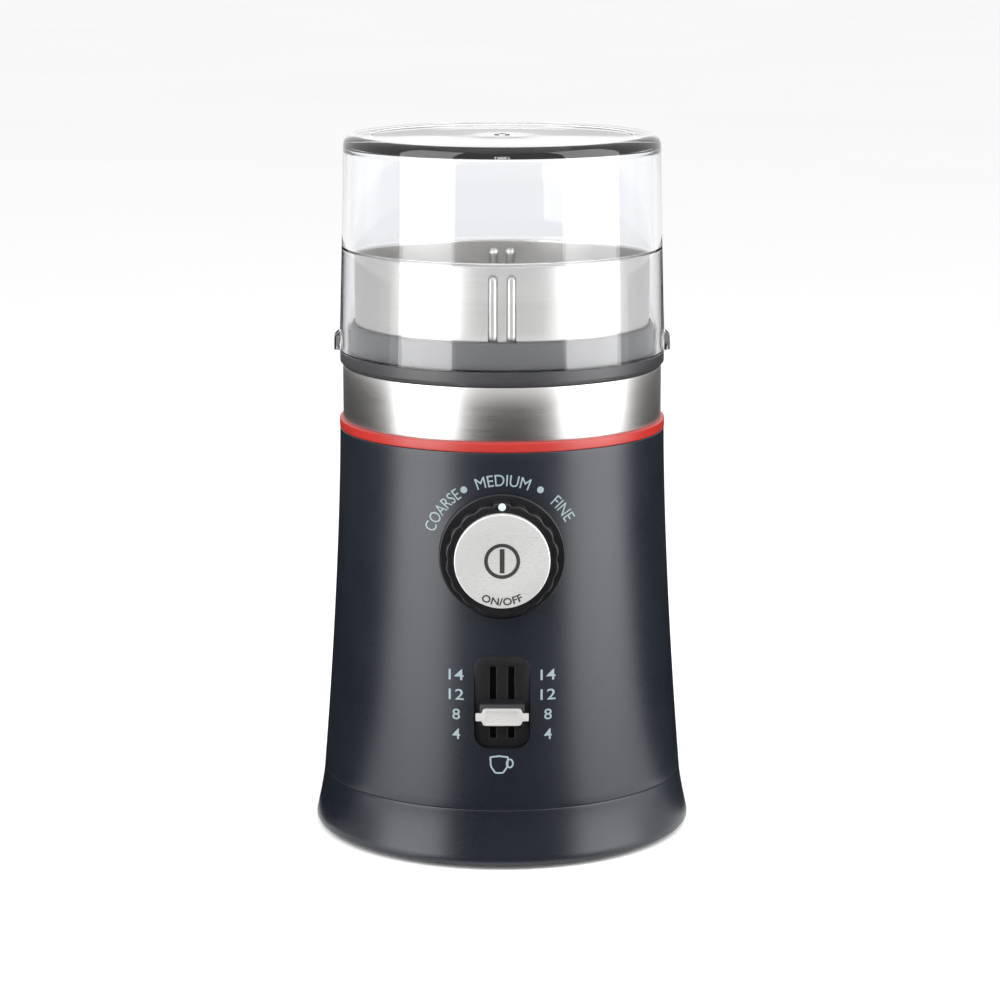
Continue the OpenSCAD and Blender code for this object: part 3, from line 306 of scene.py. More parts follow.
BLADE_STEEL = Finish(
    "ground_blade_steel", Slot.STEEL, (0.6, 0.6, 0.59), (0.45, 0.45, 0.44),
    metallic=1.0, rough=(0.18, 0.32), grain=2400.0, stretch=(0.05, 1.0, 1.0), bump=0.2,
    mottle=0.6,
)
COLLAR = Finish(
    "moulded_grey_collar", Slot.COLLAR, (0.1, 0.1, 0.103), (0.135, 0.135, 0.138),
    rough=(0.36, 0.48), grain=2200.0, bump=0.15, edge_highlight=0.2,
)
LID_CLEAR = Finish(
    "clear_moulded_plastic", Slot.CLEAR, (0.975, 0.98, 0.99), (0.955, 0.962, 0.98),
    rough=(0.015, 0.045), grain=90.0, bump=0.035, relief=1e-4, drift=18.0, transmission=1.0,
    index=1.49,
)
BUTTON = Finish(
    "satin_button_metal", Slot.BUTTON, (0.6, 0.6, 0.59), (0.52, 0.52, 0.51),
    metallic=0.45, rough=(0.26, 0.31), grain=5200.0, stretch=(0.04, 1.0, 1.0), bump=0.03,
    relief=3e-6, drift=60.0, mottle=0.35, anisotropy=0.2,
)
BAR_STEEL = Finish(
    "brushed_selector_bar", Slot.STEEL, (0.6, 0.59, 0.58), (0.5, 0.49, 0.48),
    metallic=0.4, rough=(0.26, 0.33), grain=6000.0, stretch=(0.05, 1.0, 1.0), bump=0.04,
    relief=3e-6, drift=90.0, mottle=0.4,
)
PALE_INK = Finish(
    "pale_legend_ink", Slot.POINTER, (0.21, 0.27, 0.275), (0.18, 0.235, 0.24),
    rough=(0.45, 0.6), grain=5000.0, bump=0.1, mottle=0.5,
)
DARK_INK = Finish(
    "dark_button_ink", Slot.BLACK, (0.018, 0.017, 0.017), (0.03, 0.028, 0.028),
    rough=(0.4, 0.55), grain=5000.0, bump=0.1, mottle=0.5,
)
POINTER = Finish(
    "white_pointer_inlay", Slot.POINTER, (0.48, 0.57, 0.56), (0.42, 0.5, 0.49),
    rough=(0.35, 0.5), grain=4000.0, bump=0.08,
)
RUBBER = Finish(
    "soft_black_rubber", Slot.RUBBER, (0.016, 0.016, 0.016), (0.028, 0.027, 0.026),
    rough=(0.65, 0.85), grain=1800.0, bump=0.4, relief=4e-5, sheen=0.15,
)
NATURAL = Finish(
    "natural_nylon", Slot.NATURAL, (0.68, 0.66, 0.6), (0.58, 0.55, 0.48),
    rough=(0.4, 0.55), grain=2000.0, bump=0.15, edge_highlight=0.2,
)
BOARD = Finish(
    "green_circuit_board", Slot.BOARD, (0.014, 0.11, 0.045), (0.03, 0.19, 0.08),
    rough=(0.3, 0.45), grain=900.0, stretch=(1.0, 1.0, 3.0), bump=0.25, mottle=0.8,
)
RELAY = Finish(
    "blue_relay_case", Slot.RELAY, (0.02, 0.075, 0.24), (0.035, 0.11, 0.3),
    rough=(0.35, 0.5), grain=2200.0, bump=0.12, edge_highlight=0.25,
)
CAPACITOR = Finish(
    "yellow_capacitor_wrap", Slot.CAPACITOR, (0.62, 0.4, 0.05), (0.72, 0.5, 0.09),
    rough=(0.25, 0.4), grain=1200.0, bump=0.1,
)
SENSOR = Finish(
    "sensor_housing_metal", Slot.SENSOR, (0.3, 0.31, 0.33), (0.22, 0.23, 0.25),
    metallic=0.9, rough=(0.35, 0.5), grain=2400.0, bump=0.15,
)
ZINC = Finish(
    "zinc_plated_steel", Slot.ZINC, (0.5, 0.51, 0.5), (0.38, 0.4, 0.42),
    metallic=1.0, rough=(0.28, 0.48), grain=700.0, bump=0.12, mottle=0.6,
)
BEARING = Finish(
    "ground_bearing_steel", Slot.BEARING, (0.55, 0.55, 0.56), (0.46, 0.46, 0.47),
    metallic=1.0, rough=(0.14, 0.26), grain=3000.0, stretch=(0.05, 0.05, 1.0), bump=0.1,
)
IRON = Finish(
    "laminated_iron", Slot.IRON, (0.2, 0.205, 0.215), (0.11, 0.11, 0.115),
    metallic=0.9, rough=(0.4, 0.6), grain=1400.0, stretch=(0.01, 0.01, 1.0), bump=0.6,
    relief=8e-5, mottle=0.8,
)
COPPER = Finish(
    "enamelled_copper_wire", Slot.COPPER, (0.62, 0.24, 0.07), (0.42, 0.14, 0.035),
    metallic=1.0, rough=(0.22, 0.36), grain=1500.0, stretch=(1.0, 1.0, 0.05), bump=0.6,
    relief=1e-4, mottle=0.7,
)
BRASS = Finish(
    "turned_brass", Slot.BRASS, (0.7, 0.5, 0.19), (0.56, 0.38, 0.13),
    metallic=1.0, rough=(0.2, 0.36), grain=2600.0, stretch=(0.05, 0.05, 1.0), bump=0.15,
)
CARBON = Finish(
    "pressed_carbon", Slot.CARBON, (0.02, 0.02, 0.021), (0.045, 0.045, 0.046),
    metallic=0.3, rough=(0.45, 0.65), grain=1600.0, bump=0.35, mottle=0.7,
)


# ---------------------------------------------------------------- mesh work


def rounded(corners: Sequence[Corner], steps: int = 5) -> list[Vec2]:
    """Rounds the corners of a closed outline with arcs.

    Args:
        corners: Each corner's two coordinates and its rounding radius.
        steps: Pieces that each arc is divided into.

    Returns:
        The outline's points, in the same order.
    """
    points: list[Vec2] = []
    for i, (x, y, radius) in enumerate(corners):
        here = Vector((x, y))
        to_last = Vector(corners[i - 1][:2]) - here
        to_next = Vector(corners[(i + 1) % len(corners)][:2]) - here
        if radius <= 0.0:
            points.append((x, y))
            continue
        half = to_last.angle(to_next) / 2
        reach = min(radius / math.tan(half), 0.49 * to_last.length, 0.49 * to_next.length)
        radius = reach * math.tan(half)
        middle = (to_last.normalized() + to_next.normalized()).normalized()
        centre = here + middle * radius / math.sin(half)
        first = here + to_last.normalized() * reach - centre
        last = here + to_next.normalized() * reach - centre
        start = math.atan2(first.y, first.x)
        sweep = (math.atan2(last.y, last.x) - start + math.pi) % (2 * math.pi) - math.pi
        for k in range(steps + 1):
            angle = start + sweep * k / steps
            spot = centre + radius * Vector((math.cos(angle), math.sin(angle)))
            points.append((spot.x, spot.y))
    return points


def rectangle(width: float, height: float, radius: float, steps: int = 8) -> list[Vec2]:
    """Outlines a rectangle with round corners about its middle.

    Args:
        width: Size along the first coordinate.
        height: Size along the second.
        radius: Radius of the corners.
        steps: Pieces that each corner is divided into.

    Returns:
        The outline's points.
    """
    x, y = width / 2, height / 2
    return rounded([(x, y, radius), (-x, y, radius), (-x, -y, radius), (x, -y, radius)], steps)


def to_object(name: str, work: bmesh.types.BMesh, sharp: float = 34.0) -> Object:
    """Closes a mesh, faces it outwards and makes it an object.

    Args:
        name: The object's name.
        work: The mesh; it is freed.
        sharp: Angle in degrees above which an edge stays sharp.

    Returns:
        The object, in the scene.
    """
    bmesh.ops.remove_doubles(work, verts=work.verts, dist=1e-7)
    bmesh.ops.dissolve_degenerate(work, edges=work.edges, dist=1e-7)
    bmesh.ops.recalc_face_normals(work, faces=work.faces)
    mesh = bpy.data.meshes.new(name)
    work.to_mesh(mesh)
    work.free()
    made = bpy.data.objects.new(name, mesh)
    bpy.context.scene.collection.objects.link(made)
    shade(made, sharp)
    return made


def shade(piece: Object, sharp: float = 34.0) -> None:
    """Shades a piece smooth except across its sharp edges.

    Args:
        piece: The object.
        sharp: Angle in degrees above which an edge stays sharp.
    """
    piece.data.shade_smooth()
    piece.data.set_sharp_from_angle(angle=math.radians(sharp))


def even_angles(count: int = SEGMENTS) -> list[float]:
    """Gives evenly spread angles of a full turn."""
    return [2 * math.pi * i / count for i in range(count)]


def turned(
    name: str,
    outline: Sequence[Vec2],
    axis: Axis = Axis.UP,
    centre: Vec3 = (0.0, 0.0, 0.0),
    angles: Sequence[float] = (),
    push: Push | None = None,
) -> Object:
    """Turns a closed outline round an axis.

    Args:
        name: The object's name.
        outline: Radius and height of each point. Where it touches the axis it closes there.
        axis: UP turns round Z; FRONT turns round Y, with heights measured along Y.
        centre: A point on the axis, from which heights are measured.
        angles: Where the outline stands; evenly spread if left out.
        push: Gives a point's new radius from its angle, radius and height.

    Returns:
        The object.
    """
    turns = list(angles) or even_angles()
    work = bmesh.new()
    rings = []
    for angle in turns:
        ring = []
        for radius, height in outline:
            if push is not None:
                radius = push(angle, radius, height)
            across, along = radius * math.cos(angle), radius * math.sin(angle)
            spot = (across, along, height) if axis is Axis.UP else (across, height, along)
            ring.append(work.verts.new(Vector(spot) + Vector(centre)))
        rings.append(ring)
    count = len(outline)
    for i, ring in enumerate(rings):
        other = rings[(i + 1) % len(rings)]
        for k in range(count):
            m = (k + 1) % count
            if outline[k][0] < 1e-9 and outline[m][0] < 1e-9:
                continue
            work.faces.new((ring[k], ring[m], other[m], other[k]))
    return to_object(name, work)


def prism(
    name: str, outline: Sequence[Vec2], axis: Axis, start: float, end: float, centre: Vec2 = (0, 0)
) -> Object:
    """Draws a flat outline out into a solid.

    Args:
        name: The object's name.
        outline: Points in the two other axes, in the order X, Y, Z.
        axis: The axis that it is drawn out along.
        start: Where the solid starts on that axis.
        end: Where it ends.
        centre: Where the outline's own middle lies.

    Returns:
        The object.
    """
    work = bmesh.new()
    ends = []
    for level in (start, end):
        ring = []
        for first, second in outline:
            spot = [first + centre[0], second + centre[1]]
            spot.insert("xyz".index(axis.value), level)
            ring.append(work.verts.new(spot))
        ends.append(ring)
        work.faces.new(ring)
    for k in range(len(outline)):
        m = (k + 1) % len(outline)
        work.faces.new((ends[0][k], ends[0][m], ends[1][m], ends[1][k]))
    return to_object(name, work)


def settle(piece: Object) -> Object:
    """Applies a piece's modifiers.

    Args:
        piece: The object.

    Returns:
        The same object with a plain mesh.
    """
    graph = bpy.context.evaluated_depsgraph_get()
    mesh = bpy.data.meshes.new_from_object(piece.evaluated_get(graph))
    old = piece.data
    piece.modifiers.clear()
    piece.data = mesh
    bpy.data.meshes.remove(old)
    return piece


def combine(piece: Object, others: Iterable[Object], operation: str, sharp: float = 34.0) -> Object:
    """Cuts other solids out of a piece, or joins them to it.

    Args:
        piece: The object that stays.
        others: The solids that are used up.
        operation: DIFFERENCE or UNION.
        sharp: Angle in degrees above which an edge stays sharp.

    Returns:
        The piece.
    """
    used = list(others)
    for other in used:
        step = piece.modifiers.new(other.name, "BOOLEAN")
        step.object = other
        step.operation = operation
        step.solver = "EXACT"
    settle(piece)
    for other in used:
        bpy.data.objects.remove(other, do_unlink=True)
    shade(piece, sharp)
    return piece


def soften(piece: Object, width: float, segments: int = 3) -> Object:
    """Rounds the sharp edges of a piece.

    Args:
        piece: The object.
        width: How far the rounding reaches from the edge.
        segments: Pieces that the rounding is divided into.

    Returns:
        The piece.
    """
    step = piece.modifiers.new("edge", "BEVEL")
    step.width = width
    step.segments = segments
    step.limit_method = "ANGLE"
    step.angle_limit = math.radians(30)
    settle(piece)
    shade(piece, 50.0)
    return piece


def dress(piece: Object, body: str, finish: Finish, *nodes: str) -> Object:
    """Gives a new piece its finish, its body and the CAD nodes that it stands for.

    Args:
        piece: The object.
        body: The CAD body that it rides on.
        finish: Its finish.
        *nodes: The CAD nodes that it stands for.

    Returns:
        The piece.
    """
    piece.data.materials.clear()
    piece.data.materials.append(finish.material())
    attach(piece, body)
    if nodes:
        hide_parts(*nodes)
    LOG.info("%s rides on %s in %s", piece.name, body, finish.name)
    return piece


@cache
def box(node: str) -> tuple[Vector, Vector]:
    """Gives a CAD node's box, measured once."""
    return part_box(node)


def low(node: str) -> Vector:
    """Gives the lowest corner of a CAD node's box."""
    return box(node)[0]


def high(node: str) -> Vector:
    """Gives the highest corner of a CAD node's box."""
    return box(node)[1]


# ---------------------------------------------------------------- housing and trim


@dataclass
class Shell:
    """The painted housing and the skirt that it stands on."""

    wall: float = 2.4 * MM
    body_flare: float = 5.9 * MM
    flare_power: float = 1.54
    skirt_flare: float = 2.7 * MM
    skirt_power: float = 1.35
    foot_round: float = 1.6 * MM
    seam_groove: float = 0.35 * MM
    fit: float = 0.05 * MM
    steps: int = 40
    seam_z: float = field(default_factory=lambda: high("base_skirt").z)
    top_z: float = field(default_factory=lambda: high("main_housing").z)
    seam_r: float = field(default_factory=lambda: high("main_housing").x)
    foot_z: float = field(default_factory=lambda: low("base_skirt").z)

    def radius(self, z: float) -> float:
        """Gives the housing's outer radius at a height."""
        share = max(0.0, (self.top_z - z) / (self.top_z - self.seam_z))
        return self.seam_r - self.body_flare * (1 - share**self.flare_power)

    def skirt_radius(self, z: float) -> float:
        """Gives the skirt's outer radius at a height."""
        share = max(0.0, (self.seam_z - z) / (self.seam_z - self.foot_z - self.foot_round))
        return self.seam_r + self.skirt_flare * share**self.skirt_power

    def build_housing(self) -> Object:
        """Builds the housing with its three openings.

        Returns:
            The dressed piece.
        """
        heights = [self.seam_z + (self.top_z - self.seam_z) * i / self.steps
                   for i in range(self.steps + 1)]
        outer: list[Corner] = [(self.radius(z), z, 0.0) for z in heights]
        outer[0] = (*outer[0][:2], self.seam_groove)
        outer[-1] = (*outer[-1][:2], self.seam_groove)
        inner: list[Corner] = [(self.radius(z) - self.wall, z, 0.0) for z in reversed(heights)]
        housing = turned("housing_shell", rounded(outer + inner))
        bezel_lo, bezel_hi = box("dial_bezel")
        dial_z = (bezel_lo.z + bezel_hi.z) / 2
        dial = Dial()
        panel = Selector()
        gland_lo, gland_hi = box("cord_gland")
        hole = turned("dial_hole", [(0, -0.03), (dial.bezel_r + self.fit, -0.03),
                                    (dial.bezel_r + self.fit, 0.03), (0, 0.03)],
                      Axis.FRONT, (0, -self.seam_r, dial_z))
        window = prism("panel_window",
                       rectangle(panel.width + 2 * self.fit, panel.height + 2 * self.fit,
                                 panel.corner + self.fit),
                       Axis.FRONT, -0.09, -0.03, (0, panel.middle_z))
        cable = turned("gland_hole", [(0, -0.02), (gland_hi.x + self.fit, -0.02),
                                      (gland_hi.x + self.fit, 0.02), (0, 0.02)],
                       Axis.FRONT, (0, self.seam_r, (gland_lo.z + gland_hi.z) / 2))
        combine(housing, [hole, window, cable], "DIFFERENCE")
        return dress(housing, "base", PAINT, "main_housing")

    def build_skirt(self) -> Object:
        """Builds the skirt, rounded under at its foot.

        Returns:
            The dressed piece.
        """
        bottom = self.foot_z + self.foot_round
        heights = [bottom + (self.seam_z - bottom) * i / 12 for i in range(13)]
        outer: list[Corner] = [(self.skirt_radius(z), z, 0.0) for z in heights]
        outer[-1] = (*outer[-1][:2], self.seam_groove)
        foot_r = self.skirt_radius(bottom)
        under: list[Corner] = [
            (foot_r - self.wall, self.foot_z, 0.5 * MM),
            (foot_r, self.foot_z, self.foot_round),
        ]
        inner: list[Corner] = [(self.skirt_radius(z) - self.wall, z, 0.0)
                               for z in reversed(heights)]
        skirt = turned("base_skirt_shell", rounded(under + outer + inner))
        return dress(skirt, "base", PAINT, "base_skirt")


@dataclass
class Trim:
    """The red ring, the steel band and the black rim of the well above the housing."""

    ring_depth: float = 1.6 * MM
    bulge: float = 0.5 * MM
    edge: float = 0.12 * MM
    rim_chamfer: float = 1.4 * MM
    rim_edge: float = 0.5 * MM
    rim_fit: float = 0.05 * MM

    def build_ring(self) -> Object:
        """Builds the red ring with a softly rounded face.

        Returns:
            The dressed piece.
        """
        lo, hi = box("accent_ring")
        corners = [
            (hi.x - self.ring_depth, lo.z, 0.0), (hi.x, lo.z, self.bulge),
            (hi.x, hi.z, self.bulge), (hi.x - self.ring_depth, hi.z, 0.0),
        ]
        return dress(turned("red_ring", rounded(corners)), "base", RED, "accent_ring")

    def build_band(self) -> Object:
        """Builds the plain steel band.

        Returns:
            The dressed piece.
        """
        lo, hi = box("steel_band")
        thickness = 0.45 * MM
        corners = [
            (hi.x - thickness, lo.z, 0.0), (hi.x, lo.z, self.edge),
            (hi.x, hi.z, self.edge), (hi.x - thickness, hi.z, 0.0),
        ]
        band = turned("brushed_band", rounded(corners, 3))
        return dress(band, "base", BAND_STEEL, "steel_band")

    def build_well(self) -> Object:
        """Builds the rim and the well under the grinding chamber.

        Returns:
            The dressed piece.
        """
        rim_r, deck_z = high("chamber_well").x, high("chamber_well").z
        band_lo, band_hi = box("steel_band")
        wall_r = band_hi.x - 0.5 * MM
        pin_lo, pin_hi = box("interlock_pin")
        collar = box("chamber_collar")
        inner_r = Chamber().body_r + 0.3 * MM
        floor_z = collar[0].z - 0.5 * MM
        hub_r = high("driven_coupling").x + 3.5 * MM
        corners = [
            (hub_r, floor_z, 0.6 * MM), (hub_r, floor_z - 2 * MM, 0.3 * MM),
            (wall_r - 1.2 * MM, floor_z - 2 * MM, 0.0), (wall_r - 1.2 * MM, band_lo.z, 0.0),
            (wall_r - 0.4 * MM, band_lo.z, 0.0), (wall_r - 0.4 * MM, band_hi.z, 0.0),
            (wall_r, band_hi.z, 0.0), (rim_r, band_hi.z + self.rim_chamfer, 0.4 * MM),
            (rim_r, deck_z, self.rim_edge), (inner_r, deck_z, 0.4 * MM),
            (inner_r, floor_z, 1.0 * MM),
        ]
        well = turned("black_rim_and_well", rounded(corners))
        pin_r = (pin_hi.y - pin_lo.y) / 4
        pin_x = pin_hi.x - pin_r
        hole = turned("pin_hole", [(0, floor_z - 0.01), (pin_r + self.rim_fit, floor_z - 0.01),
                                   (pin_r + self.rim_fit, deck_z + 0.01), (0, deck_z + 0.01)],
                      Axis.UP, (pin_x, 0, 0), even_angles(48))
        combine(well, [hole], "DIFFERENCE")
        return dress(well, "base", SATIN_BLACK, "chamber_well")


# ---------------------------------------------------------------- chamber and lid


@dataclass
class Chamber:
    """The grey collar and the fluted steel cup that lift out together."""

    body_r: float = 45.65 * MM
    shoulder: float = 0.9 * MM
    cup_wall: float = 0.8 * MM
    rim_roll: float = 0.3 * MM
    corner: float = 22.0 * MM
    flute_width: float = 2.9 * MM
    flute_depth: float = 1.25 * MM
    flute_gap: float = 5.6 * MM
    flute_top: float = 3.0 * MM

    def build_collar(self) -> Object:
        """Builds the collar with its bevelled top and the two notches for the lid.

        Returns:
            The dressed piece.
        """
        lo, hi = box("chamber_collar")
        deck_z = high("chamber_well").z
        cup_r = high("cup").x - self.rim_roll + 0.15 * MM
        hub_r = high("blade_bushing").x - 2 * MM
        web_z = lo.z + 2.5 * MM
        floor_z = low("cup").z - 0.15 * MM
        corners = [
            (hub_r, lo.z, 0.0), (self.body_r, lo.z, 1.0 * MM), (self.body_r, deck_z, 0.15 * MM),
            (hi.x, deck_z + 0.05 * MM, 0.25 * MM), (hi.x, hi.z, self.shoulder),
            (cup_r - 0.3 * MM, hi.z, 0.15 * MM), (cup_r - 1.6 * MM, hi.z - 6 * MM, 3.0 * MM),
            (self.body_r - 2 * MM, deck_z - 1.5 * MM, 0.8 * MM),
            (self.body_r - 2 * MM, web_z, 1.2 * MM), (hub_r + 3 * MM, web_z, 1.2 * MM),
            (hub_r + 3 * MM, floor_z, 0.3 * MM), (hub_r, floor_z, 0.0),
        ]
        collar = turned("grey_collar", rounded(corners))
        notches = [
            prism(f"notch_{side}", rectangle(10 * MM, 5.8 * MM, 0.6 * MM), Axis.UP,
                  deck_z - 1 * MM, hi.z + 1 * MM, (side * (self.body_r + 5.4 * MM), 0))
            for side in (-1, 1)
        ]
        combine(collar, notches, "DIFFERENCE")
        return dress(collar, "chamber", COLLAR, "chamber_collar")

    def flute(self, angle: float, z: float, bottom: float, top: float) -> float:
        """Gives how far the cup's wall is pressed in.

        Args:
            angle: Angle round the axis.
            z: Height.
            bottom: Height where the flutes start.
            top: Height where they end in a round.

        Returns:
            The depth of the pressing.
        """
        radius = high("cup").x - self.rim_roll
        across = min(abs(radius * math.remainder(angle - middle, 2 * math.pi))
                     for middle in (-math.pi / 2, math.pi / 2))
        side = abs(across - self.flute_gap / 2) / (self.flute_width / 2)
        above = max(0.0, (z - (top - self.flute_width / 2)) / (self.flute_width / 2))
        spread = math.hypot(side, above)
        if spread >= 1.0 or z < bottom:
            return 0.0
        return self.flute_depth * math.sqrt(1 - spread * spread) * min(1.0, (z - bottom) / MM)

    def angles(self) -> list[float]:
        """Gives angles that are close together over the flutes.

        Returns:
            The angles in order.
        """
        reach = (self.flute_gap + self.flute_width) / 2 / high("cup").x * 1.15
        found: list[float] = []
        for middle in (-math.pi / 2, math.pi / 2):
            found += [middle - reach + 2 * reach * i / 96 for i in range(97)]
            start, count = middle + reach, 110
            found += [start + (math.pi - 2 * reach) * i / count for i in range(1, count)]
        return found

    def build_cup(self) -> Object:
        """Builds the pressed steel cup.

        Returns:
            The dressed piece.
        """
        lo, hi = box("cup")
        radius = hi.x - self.rim_roll
        arc_z = lo.z + self.corner
        hole_r = high("blade_bushing").x - 1.8 * MM

        def side(inset: float) -> list[Vec2]:
            """Gives the wall from the floor's hole to the rim, moved in by inset."""
            bend = self.corner - inset
            arc = [(radius - self.corner + bend * math.sin(math.pi / 2 * i / 14),
                    arc_z - bend * math.cos(math.pi / 2 * i / 14)) for i in range(15)]
            straight = [(radius - inset, arc_z + (hi.z - 0.7 * MM - arc_z) * i / 46)
                        for i in range(1, 47)]
            return [(hole_r, lo.z + inset), *arc, *straight]

        roll_r, inner_r = radius + self.rim_roll, radius - self.cup_wall
        rim = [(roll_r - 0.1 * MM, hi.z - 0.62 * MM), (roll_r, hi.z - 0.45 * MM),
               (roll_r, hi.z - 0.2 * MM), (roll_r - 0.12 * MM, hi.z - 0.05 * MM),
               (roll_r - 0.3 * MM, hi.z), (inner_r + 0.25 * MM, hi.z),
               (inner_r + 0.08 * MM, hi.z - 0.08 * MM), (inner_r, hi.z - 0.3 * MM)]
        outline = side(0.0) + rim + list(reversed(side(self.cup_wall)))
        bottom, top = high("chamber_collar").z - 4 * MM, hi.z - self.flute_top

        def press(angle: float, r: float, z: float) -> float:
            """Presses the flutes in."""
            return r - self.flute(angle, z, bottom, top) if r > 0.8 * radius else r

        cup = turned("steel_cup", outline, angles=self.angles(), push=press)
        return dress(cup, "chamber", CUP_STEEL, "cup")


@dataclass
class Lid:
    """The clear moulded lid with its ears and lugs."""

    wall: float = 2.9 * MM
    skirt_wall: float = 2.1 * MM
    top_thickness: float = 4.0 * MM
    edge: float = 3.6 * MM
    draft: float = 1.6 * MM
    draft_power: float = 1.3
    ear_height: float = 5.8 * MM
    ear_width: float = 10.0 * MM
    ear_soft: float = 1.3 * MM
    lug_width: float = 5.0 * MM
    lug_height: float = 6.0 * MM
    ledge_rise: float = 0.6 * MM
    dish_inset: float = 8.5 * MM
    dish: float = 0.5 * MM

    def angles(self) -> list[float]:
        """Gives angles that are close together over the ears.

        Returns:
            The angles in order.
        """
        reach = 0.7 * self.ear_width / high("lid").y
        found: list[float] = []
        for middle in (0.0, math.pi):
            found += [middle - reach + 2 * reach * i / 56 for i in range(57)]
            count = 96
            found += [middle + reach + (math.pi - 2 * reach) * i / count for i in range(1, count)]
        return found

    @staticmethod
    def bump(across: float, half: float, soft: float) -> float:
        """Fades from 1 to 0 over the edge of a raised patch.

        Args:
            across: Distance from the patch's middle.
            half: Half of the patch's width.
            soft: Width of the fade.

        Returns:
            The share of the full height.
        """
        share = min(1.0, max(0.0, (half - across) / soft))
        return math.sqrt(1 - (1 - share) ** 2)

    def build(self) -> Object:
        """Builds the lid as one closed shell.

        Returns:
            The dressed piece.
        """
        hi = high("lid")
        foot_r, foot_z = hi.y, high("chamber_well").z
        ledge_z = high("cup").z + self.ledge_rise
        top_r = foot_r - self.draft
        inner_r, skirt_r = top_r - self.wall, foot_r - self.skirt_wall
        rise = hi.z - self.edge - foot_z
        outer = [(top_r + self.draft * (1 - i / 44) ** self.draft_power,
                  foot_z + rise * i / 44) for i in range(45)]
        round_top = [(top_r - self.edge + self.edge * math.cos(math.pi / 2 * i / 10),
                      hi.z - self.edge + self.edge * math.sin(math.pi / 2 * i / 10))
                     for i in range(1, 11)]
        dish_r = top_r - self.dish_inset
        top = rounded([
            (dish_r + 0.3 * MM, hi.z, 0.25 * MM), (dish_r - 0.3 * MM, hi.z - self.dish, 0.25 * MM),
            (2.6 * MM, hi.z - self.dish, 0.15 * MM), (2.2 * MM, hi.z - 0.3 * self.dish, 0.15 * MM),
            (1.4 * MM, hi.z - 0.3 * self.dish, 0.1 * MM),
            (1.1 * MM, hi.z - 0.7 * self.dish, 0.1 * MM),
            (0.0, hi.z - 0.7 * self.dish, 0.0)])[:-1] + [(0.0, hi.z - 0.7 * self.dish)]
        under_z = hi.z - self.top_thickness
        inside = [(0.0, under_z), *rounded([
            (0.0, under_z, 0.0), (inner_r, under_z, 1.6 * MM),
            (inner_r + 0.5 * MM, ledge_z, 0.3 * MM), (skirt_r, ledge_z, 0.3 * MM),
            (skirt_r, foot_z, 0.0)], 6)[1:-1]]
        skirt = [(skirt_r, ledge_z - (ledge_z - foot_z) * i / 36) for i in range(1, 36)]
        skirt.append((skirt_r, foot_z))
        lug_r = high("cup").x + 0.25 * MM
        ear_top = foot_z + self.ear_height
        ear_out = hi.x - foot_r

        def shape(angle: float, r: float, z: float) -> float:
            """Raises the ears outside and the lugs inside."""
            across = r * abs(math.remainder(angle, math.pi))
            if r > skirt_r + 0.3 * MM and z < ear_top + 1 * MM:
                high_share = self.bump(abs(z - foot_z - self.ear_height / 2 + 0.5 * MM),
                                       self.ear_height / 2 + 0.5 * MM, self.ear_soft)
                return r + ear_out * high_share * self.bump(across, self.ear_width / 2,
                                                            self.ear_soft)
            if abs(r - skirt_r) < 1e-6 and z < foot_z + self.lug_height:
                return r - (skirt_r - lug_r) * self.bump(across, self.lug_width / 2, 0.4 * MM)
            return r

        lid = turned("clear_lid", [*outer, *round_top, *top, *inside, *skirt],
                     angles=self.angles(), push=shape)
        return dress(lid, "lid", LID_CLEAR, "lid")


# ---------------------------------------------------------------- front controls


